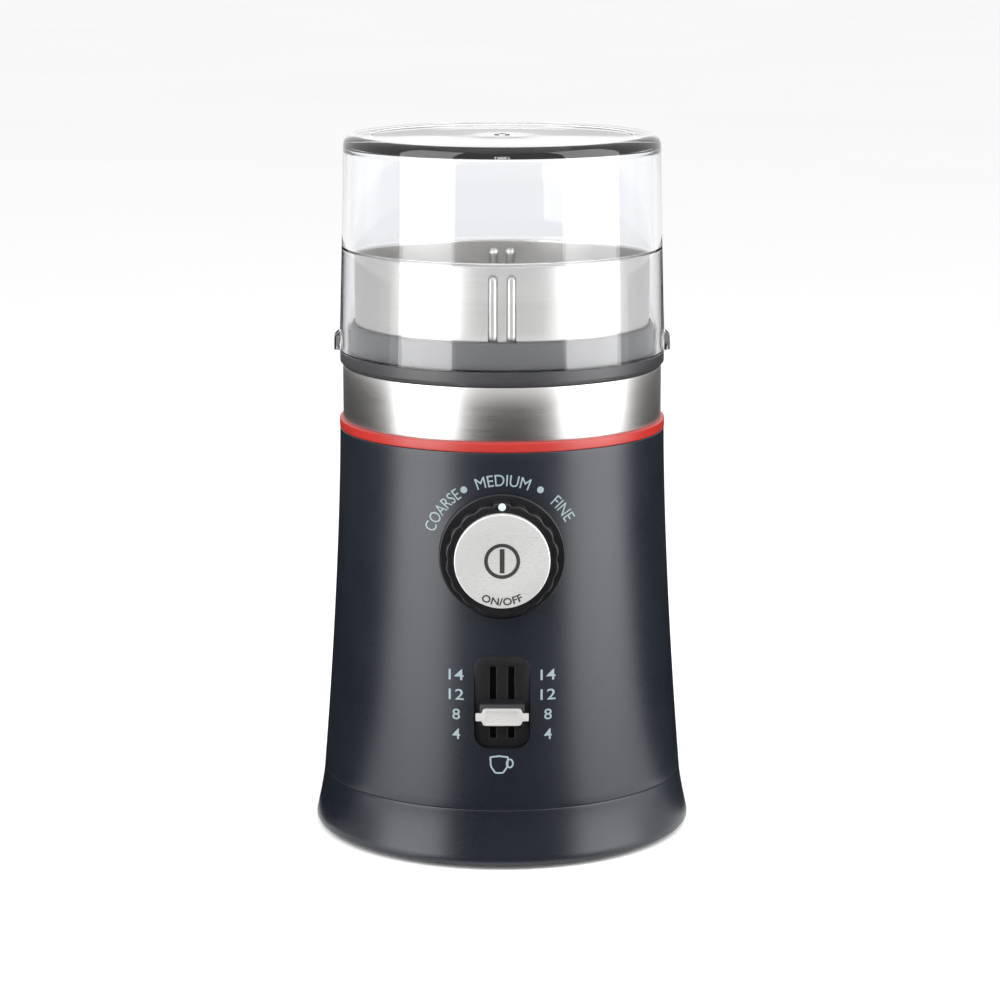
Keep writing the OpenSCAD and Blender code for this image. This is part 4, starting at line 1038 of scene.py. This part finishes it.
@dataclass
class Dial:
    """The grind dial, its bezel and its pointer."""

    bezel_r: float = 19.2 * MM
    grip_r: float = 17.2 * MM
    ribs: int = 18
    rib_depth: float = 0.9 * MM
    pocket_gap: float = 0.3 * MM

    @property
    def centre(self) -> Vec3:
        """The middle of the dial on its own axis, at the plane Y = 0."""
        lo, hi = box("button_cap")
        return (0.0, 0.0, (lo.z + hi.z) / 2)

    def build_bezel(self) -> Object:
        """Builds the black ring round the dial.

        Returns:
            The dressed piece.
        """
        lo, hi = box("dial_bezel")
        hub_r = 8.7 * MM
        corners = [
            (hub_r, lo.y, 0.3 * MM), (self.bezel_r, lo.y, 0.55 * MM),
            (self.bezel_r, hi.y - 1.5 * MM, 0.0), (hi.x, hi.y - 1.5 * MM, 0.2 * MM),
            (hi.x, hi.y, 0.2 * MM), (self.bezel_r - 2 * MM, hi.y, 0.0),
            (self.bezel_r - 2 * MM, lo.y + 1.8 * MM, 0.4 * MM),
            (hub_r, lo.y + 1.8 * MM, 0.2 * MM),
        ]
        bezel = turned("dial_bezel_ring", rounded(corners), Axis.FRONT, self.centre)
        return dress(bezel, "base", BLACK, "dial_bezel")

    def build_grip(self) -> Object:
        """Builds the ribbed ring that is turned.

        Returns:
            The dressed piece.
        """
        lo, hi = box("dial_knob")
        bezel_y = low("dial_bezel").y
        button = high("button_cap").x
        pocket_r = button + self.pocket_gap
        stem_r = high("button_stem").x + 0.05 * MM
        hub_r = 8.6 * MM
        back_y = bezel_y - 0.3 * MM
        floor_y = back_y - 1.4 * MM
        corners = [
            (stem_r, floor_y, 0.0), (pocket_r, floor_y, 0.2 * MM), (pocket_r, lo.y, 0.25 * MM),
            (self.grip_r, lo.y, 0.7 * MM), (self.grip_r, back_y, 0.25 * MM),
            (hub_r, back_y, 0.2 * MM), (hub_r, hi.y, 0.0), (stem_r, hi.y, 0.0),
        ]

        def scallop(angle: float, r: float, y: float) -> float:
            """Presses the hollows between the ribs in, but for the pointer's tab."""
            if r < self.grip_r - 1.3 * MM:
                return r
            turn = math.remainder(angle - math.pi / 2, 2 * math.pi)
            if abs(turn) < math.radians(9):
                return r + 0.35 * MM * math.cos(turn / math.radians(9) * math.pi / 2)
            wave = 0.5 - 0.5 * math.cos(self.ribs * turn)
            face = min(1.0, max(0.0, (y - lo.y) / (1.0 * MM)))
            return r - self.rib_depth * (wave**1.6) * (0.35 + 0.65 * face)

        grip = turned("dial_grip", rounded(corners, 6), Axis.FRONT, self.centre,
                      even_angles(432), scallop)
        return dress(grip, "dial", BLACK, "dial_knob")

    def build_pointer(self) -> Object:
        """Builds the pale dot set into the dial.

        Returns:
            The dressed piece.
        """
        lo, hi = box("dial_pointer")
        radius, mid_z = hi.x, (lo.z + hi.z) / 2
        outline = rounded([(0, hi.y, 0), (radius, hi.y, 0), (radius, lo.y, 0.12 * MM),
                           (0, lo.y, 0)], 4)
        dot = turned("dial_pointer_dot", outline, Axis.FRONT, (0, 0, mid_z), even_angles(48))
        return dress(dot, "dial", POINTER, "dial_pointer")


@dataclass
class Button:
    """The dished metal button and what is printed on it."""

    dish_r: float = 10.7 * MM
    dish: float = 0.75 * MM
    edge: float = 0.45 * MM
    ring_r: float = 5.4 * MM
    ring_width: float = 1.1 * MM
    bar_width: float = 1.45 * MM
    bar_height: float = 7.4 * MM
    letter: float = 2.35 * MM
    word_width: float = 12.4 * MM
    word_r: float = 13.55 * MM
    ink: float = 0.04 * MM

    def face(self, radius: float) -> float:
        """Gives the Y of the button's front at a distance from its middle."""
        front = low("button_cap").y
        share = min(1.0, radius / self.dish_r)
        return front + self.dish * (1 - share * share) ** 1.5

    def build_cap(self) -> Object:
        """Builds the button.

        Returns:
            The dressed piece.
        """
        lo, hi = box("button_cap")
        rings = [self.dish_r * i / 28 for i in range(29)]
        outline = [(r, self.face(r)) for r in rings]
        rim = rounded([(self.dish_r, lo.y, 0), (hi.x, lo.y, self.edge), (hi.x, hi.y, 0.2 * MM),
                       (0, hi.y, 0)], 6)[1:]
        cap = turned("metal_button", [*outline, *rim], Axis.FRONT, Dial().centre)
        return dress(cap, "button", BUTTON, "button_cap")

    def build_ring(self) -> Object:
        """Builds the printed ring.

        Returns:
            The dressed piece.
        """
        radii = [self.ring_r - self.ring_width * i / 6 for i in range(7)]
        front = [(r, self.face(r) - self.ink) for r in radii]
        back = [(r, self.face(r) + self.ink) for r in reversed(radii)]
        ring = turned("button_ring_print", front + back, Axis.FRONT, Dial().centre,
                      even_angles(128))
        return dress(ring, "button", DARK_INK)

    def on_face(self, u: float, v: float, lift: float) -> Vec3:
        """Lays a flat point on the button's front.

        Args:
            u: Distance to the right of the middle.
            v: Distance above the middle.
            lift: Height above the face.

        Returns:
            The point in the frame.
        """
        return (u, self.face(math.hypot(u, v)) - lift, Dial().centre[2] + v)

    def build_bar(self) -> Object:
        """Builds the printed bar inside the ring.

        Returns:
            The dressed piece.
        """
        half = self.bar_height / 2
        path = [(0.0, -half + self.bar_height * i / 12) for i in range(13)]
        bar = ribbon("button_bar_print", path, self.bar_width, self.ink, self.on_face)
        return dress(bar, "button", DARK_INK)

    def build_word(self) -> Object:
        """Builds the printed word along the lower edge.

        Returns:
            The dressed piece.
        """

        def along_edge(u: float, v: float, lift: float) -> Vec3:
            """Bends the word round the lower edge, tops inwards."""
            turn, radius = u / (self.word_r - self.letter / 2), self.word_r - v
            return self.on_face(radius * math.sin(turn), -radius * math.cos(turn), lift)

        word = lettering("button_word_print", "ON/OFF", self.letter, self.word_width, self.ink,
                         along_edge, bold=0.02)
        return dress(word, "button", DARK_INK)


@dataclass
class Selector:
    """The panel with two slots and the knob that slides up and down it."""

    width: float = 17.0 * MM
    height: float = 28.7 * MM
    corner: float = 4.5 * MM
    edge: float = 0.45 * MM
    slot_width: float = 2.0 * MM
    slot_gap: float = 5.6 * MM
    slot_reach: Vec2 = (-8.2 * MM, 14.3 * MM)
    bar_main: Vec2 = (11.4 * MM, 5.2 * MM)
    bar_tip: float = 2.3 * MM
    bar_round: float = 1.3 * MM
    bar_recess: float = 0.25 * MM

    @property
    def middle_z(self) -> float:
        """Height of the panel's middle."""
        lo, hi = box("selector_bezel")
        return (lo.z + hi.z) / 2

    @property
    def rest_z(self) -> float:
        """Height of the knob's middle at rest."""
        lo, hi = box("selector_knob")
        return (lo.z + hi.z) / 2

    def build_panel(self) -> Object:
        """Builds the panel with its two slots.

        Returns:
            The dressed piece.
        """
        lo, hi = box("selector_bezel")
        panel = prism("selector_panel", rectangle(self.width, self.height, self.corner),
                      Axis.FRONT, lo.y, hi.y - 0.5 * MM, (0, self.middle_z))
        start, end = self.slot_reach
        slots = [
            prism(f"slot_{side}", rectangle(self.slot_width, end - start, 0.15 * MM, 2),
                  Axis.FRONT, lo.y - 0.01, hi.y - 1.0 * MM,
                  (side * self.slot_gap / 2, self.rest_z + (start + end) / 2))
            for side in (-1, 1)
        ]
        combine(panel, slots, "DIFFERENCE")
        soften(panel, 0.18 * MM, 2)
        return dress(panel, "base", BLACK, "selector_bezel")

    def build_knob(self) -> Object:
        """Builds the sliding knob with its sloping top.

        Returns:
            The dressed piece.
        """
        lo, hi = box("selector_knob")
        panel_y = low("selector_bezel").y - 0.3 * MM
        half = (hi.z - lo.z) / 2
        side = rounded([
            (panel_y, -half, 0), (lo.y + 1.6 * MM, -half + 0.6 * MM, 0.5 * MM),
            (lo.y, -half + 2.0 * MM, 0.9 * MM), (lo.y, half - 2.6 * MM, 0.9 * MM),
            (lo.y + 1.8 * MM, half - 0.8 * MM, 0.8 * MM), (panel_y, half, 0)])
        knob = prism("selector_knob_body", side, Axis.SIDE, lo.x, hi.x, (0, self.rest_z))
        outline = prism("knob_outline", rectangle(hi.x - lo.x, hi.z - lo.z, 1.3 * MM),
                        Axis.FRONT, lo.y - 0.01, hi.y + 0.01, (0, self.rest_z))
        combine(knob, [outline], "INTERSECT")
        soften(knob, 0.3 * MM)
        legs = [
            prism(f"knob_leg_{side}", rectangle(1.6 * MM, 3.6 * MM, 0.2 * MM, 2), Axis.FRONT,
                  panel_y - 0.2 * MM, hi.y, (side * self.slot_gap / 2, self.rest_z))
            for side in (-1, 1)
        ]
        combine(knob, legs, "UNION", 50.0)
        return dress(knob, "selector", BLACK, "selector_knob")

    def build_bar(self) -> Object:
        """Builds the metal bar across the knob, recessed in its middle.

        Returns:
            The dressed piece.
        """
        lo, hi = box("selector_bar")
        x, z = self.bar_main[0] / 2, self.bar_main[1] / 2
        tip = self.bar_tip / 2
        corners: list[Corner] = []
        for sx, sz in ((1, 1), (-1, 1), (-1, -1), (1, -1)):
            quarter = [(sx * hi.x, sz * tip, 0.2 * MM), (sx * (x + 0.5 * MM), sz * tip, 0.4 * MM),
                       (sx * x, sz * z, self.bar_round)]
            corners += quarter if sx * sz > 0 else quarter[::-1]
        bar = prism("selector_metal_bar", rounded(corners), Axis.FRONT, lo.y, hi.y,
                    (0, self.rest_z))
        recess = prism("bar_recess", rectangle(2 * x - 1.9 * MM, 2 * z - 1.5 * MM, 0.5 * MM),
                       Axis.FRONT, lo.y - 0.01, lo.y + self.bar_recess, (0, self.rest_z))
        combine(bar, [recess], "DIFFERENCE")
        soften(bar, 0.14 * MM, 2)
        return dress(bar, "selector", BAR_STEEL, "selector_bar")


# ---------------------------------------------------------------- printing


def bent(name: str, mesh: bpy.types.Mesh, bend: Bend) -> Object:
    """Lays a flat mesh on a surface.

    Args:
        name: The object's name.
        mesh: Points across, up and above the surface.
        bend: Gives a point's place on the surface.

    Returns:
        The object.
    """
    work = bmesh.new()
    work.from_mesh(mesh)
    for vertex in work.verts:
        vertex.co = bend(*vertex.co)
    bpy.data.meshes.remove(mesh)
    return to_object(name, work, 40.0)


def ribbon(
    name: str, path: Sequence[Vec2], width: float, ink: float, bend: Bend, closed: bool = False
) -> Object:
    """Draws a line of even width as a thin solid on a surface.

    Args:
        name: The object's name.
        path: Points across and up.
        width: Width of the line.
        ink: Thickness of the ink.
        bend: Gives a point's place on the surface.
        closed: Whether the last point joins the first.

    Returns:
        The object.
    """
    work = bmesh.new()
    count = len(path)
    rings = []
    for i, spot in enumerate(path):
        last = path[i - 1] if closed or i > 0 else spot
        following = path[(i + 1) % count] if closed or i < count - 1 else spot
        way = (Vector(following) - Vector(last)).normalized()
        across = Vector((-way.y, way.x)) * width / 2
        sides = (Vector(spot) + across, Vector(spot) - across)
        rings.append([work.verts.new((*side, lift)) for side, lift in
                      ((sides[0], -ink), (sides[0], ink), (sides[1], ink), (sides[1], -ink))])
    for i in range(count if closed else count - 1):
        first, second = rings[i], rings[(i + 1) % count]
        for k in range(4):
            m = (k + 1) % 4
            work.faces.new((first[k], first[m], second[m], second[k]))
    if not closed:
        work.faces.new(rings[0])
        work.faces.new(rings[-1])
    mesh = bpy.data.meshes.new(name)
    work.to_mesh(mesh)
    work.free()
    return bent(name, mesh, bend)


def flat_letters(text: str, bold: float) -> bpy.types.Mesh:
    """Makes letters of a size of 1, with the baseline at 0.

    Args:
        text: The letters.
        bold: How much the strokes are thickened.

    Returns:
        The mesh, 0.2 thick.
    """
    curve = bpy.data.curves.new("letters", "FONT")
    curve.body = text
    curve.align_x = "CENTER"
    curve.offset = bold
    curve.extrude = 0.1
    curve.resolution_u = 4
    holder = bpy.data.objects.new("letters", curve)
    bpy.context.scene.collection.objects.link(holder)
    graph = bpy.context.evaluated_depsgraph_get()
    mesh = bpy.data.meshes.new_from_object(holder.evaluated_get(graph))
    bpy.data.objects.remove(holder, do_unlink=True)
    bpy.data.curves.remove(curve)
    return mesh


def lettering(
    name: str, text: str, height: float, width: float, ink: float, bend: Bend, bold: float = 0.0
) -> Object:
    """Prints a word on a surface.

    Args:
        name: The object's name.
        text: The letters.
        height: Height of the letters.
        width: Width of the whole word.
        ink: Thickness of the ink.
        bend: Gives a point's place on the surface.
        bold: How much the strokes are thickened, for letters of a size of 1.

    Returns:
        The object.
    """
    mesh = flat_letters(text, bold)
    points = [v.co.copy() for v in mesh.vertices]
    left, right = min(p.x for p in points), max(p.x for p in points)
    bottom, top = min(p.y for p in points), max(p.y for p in points)
    for vertex in mesh.vertices:
        x, y, z = vertex.co
        vertex.co = ((x - (left + right) / 2) * width / (right - left),
                     (y - bottom) * height / (top - bottom), z * ink / 0.1)
    return bent(name, mesh, bend)


@dataclass
class Legends:
    """The pale words, numbers, dots and mug printed on the housing."""

    shell: Shell
    letter: float = 3.5 * MM
    arc_r: float = 21.4 * MM
    words: tuple[tuple[str, float, float], ...] = (
        ("COARSE", -53.5, 15.2 * MM), ("MEDIUM", 0.6, 16.6 * MM), ("FINE", 53.0, 8.2 * MM))
    dot_turn: float = 30.0
    dot_r: float = 1.05 * MM
    numbers: tuple[str, ...] = ("4", "8", "12", "14")
    digit: float = 3.3 * MM
    digit_width: float = 2.35 * MM
    column: float = 14.0 * MM
    mug_width: float = 5.4 * MM
    mug_height: float = 5.2 * MM
    stroke: float = 0.5 * MM
    ink: float = 0.05 * MM

    def on_wall(self, x: float, z: float, lift: float) -> Vec3:
        """Lays a point on the front of the housing.

        Args:
            x: Distance to the right.
            z: Height.
            lift: Height above the paint.

        Returns:
            The point in the frame.
        """
        radius = self.shell.radius(z) + lift
        return (x, -math.sqrt(radius * radius - x * x), z)

    def build_words(self) -> list[Object]:
        """Builds the three words round the dial.

        Returns:
            The dressed pieces.
        """
        made = []
        middle = Dial().centre[2]
        for text, turn, width in self.words:

            def round_dial(u: float, v: float, lift: float, turn: float = turn) -> Vec3:
                """Bends a word round the dial, tops outwards."""
                angle = math.radians(turn) + u / (self.arc_r + self.letter / 2)
                radius = self.arc_r + v
                return self.on_wall(radius * math.sin(angle), middle + radius * math.cos(angle),
                                    lift)

            word = lettering(f"legend_{text.lower()}", text, self.letter, width, self.ink,
                             round_dial)
            made.append(dress(word, "base", PALE_INK))
        return made

    def build_dots(self) -> list[Object]:
        """Builds the dots between the words.

        Returns:
            The dressed pieces.
        """
        made = []
        radius = self.arc_r + self.letter / 2
        for name, turn in (("left", -self.dot_turn), ("right", self.dot_turn)):
            spot = (radius * math.sin(math.radians(turn)),
                    Dial().centre[2] + radius * math.cos(math.radians(turn)))
            path = [(spot[0] + self.dot_r / 2 * math.cos(a), spot[1] + self.dot_r / 2 * math.sin(a))
                    for a in even_angles(32)]
            dot = ribbon(f"legend_dot_{name}", path, self.dot_r - 0.02 * MM, self.ink,
                         self.on_wall, closed=True)
            made.append(dress(dot, "base", PALE_INK))
        return made

    def build_numbers(self) -> list[Object]:
        """Builds the two columns of numbers beside the selector.

        Returns:
            The dressed pieces.
        """
        made = []
        limits = next(j["range_m"] for j in frame["joints"] if j["name"] == "selector_slide")
        step = (limits[1] - limits[0]) / (len(self.numbers) - 1)
        for i, text in enumerate(self.numbers):
            height = Selector().rest_z + limits[0] + i * step - 0.6 * MM - self.digit / 2
            for name, side in (("left", -1), ("right", 1)):

                def beside(u: float, v: float, lift: float, side: int = side,
                           height: float = height) -> Vec3:
                    """Places a number in its column."""
                    return self.on_wall(side * self.column + u, height + v, lift)

                width = self.digit_width * len(text) - (0.1 * MM if len(text) > 1 else 0.0)
                number = lettering(f"legend_{text}_{name}", text, self.digit, width, self.ink,
                                   beside, bold=0.006)
                made.append(dress(number, "base", PALE_INK))
        return made

    def build_mug(self) -> list[Object]:
        """Builds the outline of a mug with its handle.

        Returns:
            The dressed pieces.
        """
        low_z = low("selector_bezel").z - 5.4 * MM
        left, right = -self.mug_width / 2 - 0.9 * MM, self.mug_width / 2 - 0.9 * MM
        foot = self.mug_width * 0.22
        middle = (left + right) / 2
        top = low_z + self.mug_height
        cup = rounded([
            (left, top - 0.35 * MM, 0.3 * MM), (left + 0.15 * MM, low_z + 2.0 * MM, 2.4 * MM),
            (middle - foot, low_z, 0.9 * MM), (middle + foot, low_z, 0.9 * MM),
            (right - 0.15 * MM, low_z + 2.0 * MM, 2.4 * MM), (right, top - 0.35 * MM, 0.3 * MM),
            (middle, top, 3.0 * MM)], 6)
        ear_z, ear_x = low_z + 0.56 * self.mug_height, right + 0.55 * MM
        handle = [(ear_x + 0.95 * MM * math.cos(a), ear_z + 1.25 * MM * math.sin(a))
                  for a in even_angles(28)]
        made = []
        for name, path in (("cup", cup), ("handle", handle)):
            line = ribbon(f"legend_mug_{name}", path, self.stroke, self.ink, self.on_wall,
                          closed=True)
            made.append(dress(line, "base", PALE_INK))
        return made


# ---------------------------------------------------------------- carried-over nodes


@dataclass
class Works:
    """The motor, the electrics and the fixings, which keep their CAD shapes."""

    finishes: dict[str, Finish] = field(default_factory=lambda: {
        "bottom_cover": SATIN_BLACK, "rubber_feet": RUBBER, "cover_screws": ZINC,
        "well_screws": ZINC, "control_board": BOARD, "board_screws": ZINC,
        "power_switch": SATIN_BLACK, "grind_contacts": BRASS, "cup_sensor": SENSOR,
        "relay": RELAY, "capacitor": CAPACITOR, "lid_switch": SATIN_BLACK, "stator_core": IRON,
        "field_coils": COPPER, "upper_bracket": ZINC, "lower_bracket": ZINC,
        "upper_bearing": BEARING, "lower_bearing": BEARING, "brush_holders": BRASS,
        "carbon_brushes": CARBON, "motor_bolts": ZINC, "motor_mounts": RUBBER,
        "motor_screws": ZINC, "button_spring": ZINC, "pin_spring": ZINC, "cord_gland": BLACK,
        "motor_shaft": BEARING, "armature_core": IRON, "armature_windings": COPPER,
        "commutator": COPPER, "cooling_fan": NATURAL, "drive_coupling": NATURAL,
        "blade_bushing": BRASS, "shaft_seal": RUBBER, "blade": BLADE_STEEL,
        "blade_spindle": BEARING, "blade_nut": BLADE_STEEL, "driven_coupling": SATIN_BLACK,
        "dial_wiper": BRASS, "button_stem": NATURAL, "selector_carriage": NATURAL,
        "interlock_pin": NATURAL,
    })

    def dress_all(self) -> None:
        """Gives each carried-over node its finish."""
        for node, finish in self.finishes.items():
            piece = frame["nodes"][node]
            if not piece.material_slots:
                piece.data.materials.append(finish.material())
            for place in piece.material_slots:
                place.material = finish.material()
            LOG.info("%s keeps its shape in %s", node, finish.name)


# ---------------------------------------------------------------- studio


@dataclass(frozen=True)
class Lamp:
    """One soft light that stands round the object.

    Attributes:
        name: Its name.
        azimuth: Degrees round the object from the front, positive to the right.
        distance: From the object's axis.
        height: Height of its middle.
        size: Width and height of its face.
        power: In watts.
        aim: Height on the object's axis that it points at.
    """

    name: str
    azimuth: float
    distance: float
    height: float
    size: Vec2
    power: float
    aim: float = 0.1

    def build(self) -> Object:
        """Places the light.

        Returns:
            The light.
        """
        data = bpy.data.lights.new(self.name, "AREA")
        data.shape = "RECTANGLE"
        data.size, data.size_y = self.size
        data.energy = self.power
        made = bpy.data.objects.new(self.name, data)
        turn = math.radians(self.azimuth)
        made.location = (self.distance * math.sin(turn), -self.distance * math.cos(turn),
                         self.height)
        way = Vector((0, 0, self.aim)) - made.location
        made.rotation_euler = way.to_track_quat("-Z", "Y").to_euler()
        made.visible_camera = False
        bpy.context.scene.collection.objects.link(made)
        return made


@dataclass
class Studio:
    """A pale floor, soft lights, dark flags that only reflections see, and the camera."""

    floor_size: float = 30.0
    floor_thickness: float = 0.02
    lens: float = 114.5
    distance: float = 1.011
    elevation: float = 11.23
    aim: Vec3 = (-0.00064, 0.0, 0.1038)
    lamps: tuple[Lamp, ...] = (
        Lamp("left_softbox", -54.0, 0.46, 0.36, (0.36, 0.72), 3.4, 0.3),
        Lamp("right_softbox", 66.0, 0.46, 0.36, (0.4, 0.72), 3.8, 0.3),
        Lamp("overhead_softbox", 20.0, 0.25, 1.15, (1.0, 1.0), 2.0, 0.0),
    )
    flags: tuple[Vec2, ...] = ((-180.0, -80.0), (-30.0, 40.0), (94.0, 180.0))
    flag_r: float = 0.36
    flag_near: float = 0.066
    flag_h: float = 0.15

    def build_floor(self) -> Object:
        """Builds the flat floor.

        Returns:
            The floor.
        """
        under = -self.floor_thickness
        outline = [(0.0, 0.0), (0.3, 0.0), (1.0, 0.0), (self.floor_size, 0.0),
                   (self.floor_size, under), (0.0, under)]
        floor = turned("pale_floor", outline, angles=even_angles(96))
        floor.data.materials.append(Finish(
            "pale_floor_card", Slot.NATURAL, (0.93, 0.93, 0.93), (0.91, 0.91, 0.915),
            rough=(0.95, 1.0), grain=60.0, bump=0.01, drift=2.0, specular=0.0).material())
        return floor

    def build_flags(self) -> list[Object]:
        """Builds the dark cards that shape the reflections.

        Returns:
            The cards.
        """
        card = bpy.data.materials.new("dark_flag_card")
        card.use_nodes = True
        shader = card.node_tree.nodes["Principled BSDF"]
        shader.inputs["Base Color"].default_value = (0.004, 0.004, 0.004, 1.0)
        shader.inputs["Roughness"].default_value = 1.0
        shader.inputs["Specular IOR Level"].default_value = 0.0
        made = []
        for i, (start, end) in enumerate(self.flags):
            work = bmesh.new()
            last = None
            for step in range(17):
                turn = math.radians(start + (end - start) * step / 16)
                x, y = self.flag_r * math.sin(turn), -self.flag_r * math.cos(turn)
                near = self.flag_near / self.flag_r
                line = [work.verts.new(spot) for spot in (
                    (x * near, y * near, 0.001), (x, y, 0.001), (x, y, self.flag_h))]
                for k in (0, 1):
                    if last:
                        work.faces.new((last[k], last[k + 1], line[k + 1], line[k]))
                last = line
            flag = to_object(f"dark_flag_{i}", work)
            flag.data.materials.append(card)
            flag.visible_camera = False
            flag.visible_diffuse = False
            flag.visible_shadow = False
            flag.visible_transmission = False
            made.append(flag)
        return made

    def build_world(self) -> None:
        """Makes the even pale surroundings."""
        world = bpy.data.worlds.new("pale_room")
        world.use_nodes = True
        sky = world.node_tree.nodes["Background"]
        sky.inputs["Color"].default_value = (1.0, 1.0, 1.0, 1.0)
        sky.inputs["Strength"].default_value = 1.02
        bpy.context.scene.world = world
        bpy.context.scene.view_settings.view_transform = "Standard"

    def build_camera(self) -> Object:
        """Places the camera.

        Returns:
            The camera.
        """
        data = bpy.data.cameras.new("camera")
        data.lens = self.lens
        data.sensor_width = 36.0
        data.clip_start = 0.05
        made = bpy.data.objects.new("camera", data)
        tilt = math.radians(self.elevation)
        target = Vector(self.aim)
        made.location = target + self.distance * Vector((0, -math.cos(tilt), math.sin(tilt)))
        made.rotation_euler = (target - made.location).to_track_quat("-Z", "Y").to_euler()
        bpy.context.scene.collection.objects.link(made)
        bpy.context.scene.camera = made
        return made

    def build(self) -> None:
        """Builds the whole studio."""
        self.build_floor()
        self.build_flags()
        self.build_world()
        for lamp in self.lamps:
            lamp.build()
        self.build_camera()


def main() -> None:
    """Builds the object and the studio."""
    logging.basicConfig(level=logging.INFO, format="%(message)s")
    Studio().build()
    shell = Shell()
    shell.build_housing()
    shell.build_skirt()
    trim = Trim()
    for step in (trim.build_ring, trim.build_band, trim.build_well):
        step()
    chamber = Chamber()
    chamber.build_collar()
    chamber.build_cup()
    Lid().build()
    dial = Dial()
    for step in (dial.build_bezel, dial.build_grip, dial.build_pointer):
        step()
    button = Button()
    for step in (button.build_cap, button.build_ring, button.build_bar, button.build_word):
        step()
    selector = Selector()
    for step in (selector.build_panel, selector.build_knob, selector.build_bar):
        step()
    legends = Legends(shell)
    for step in (legends.build_words, legends.build_dots, legends.build_numbers,
                 legends.build_mug):
        step()
    Works().dress_all()


if __name__ == "__main__":
    main()
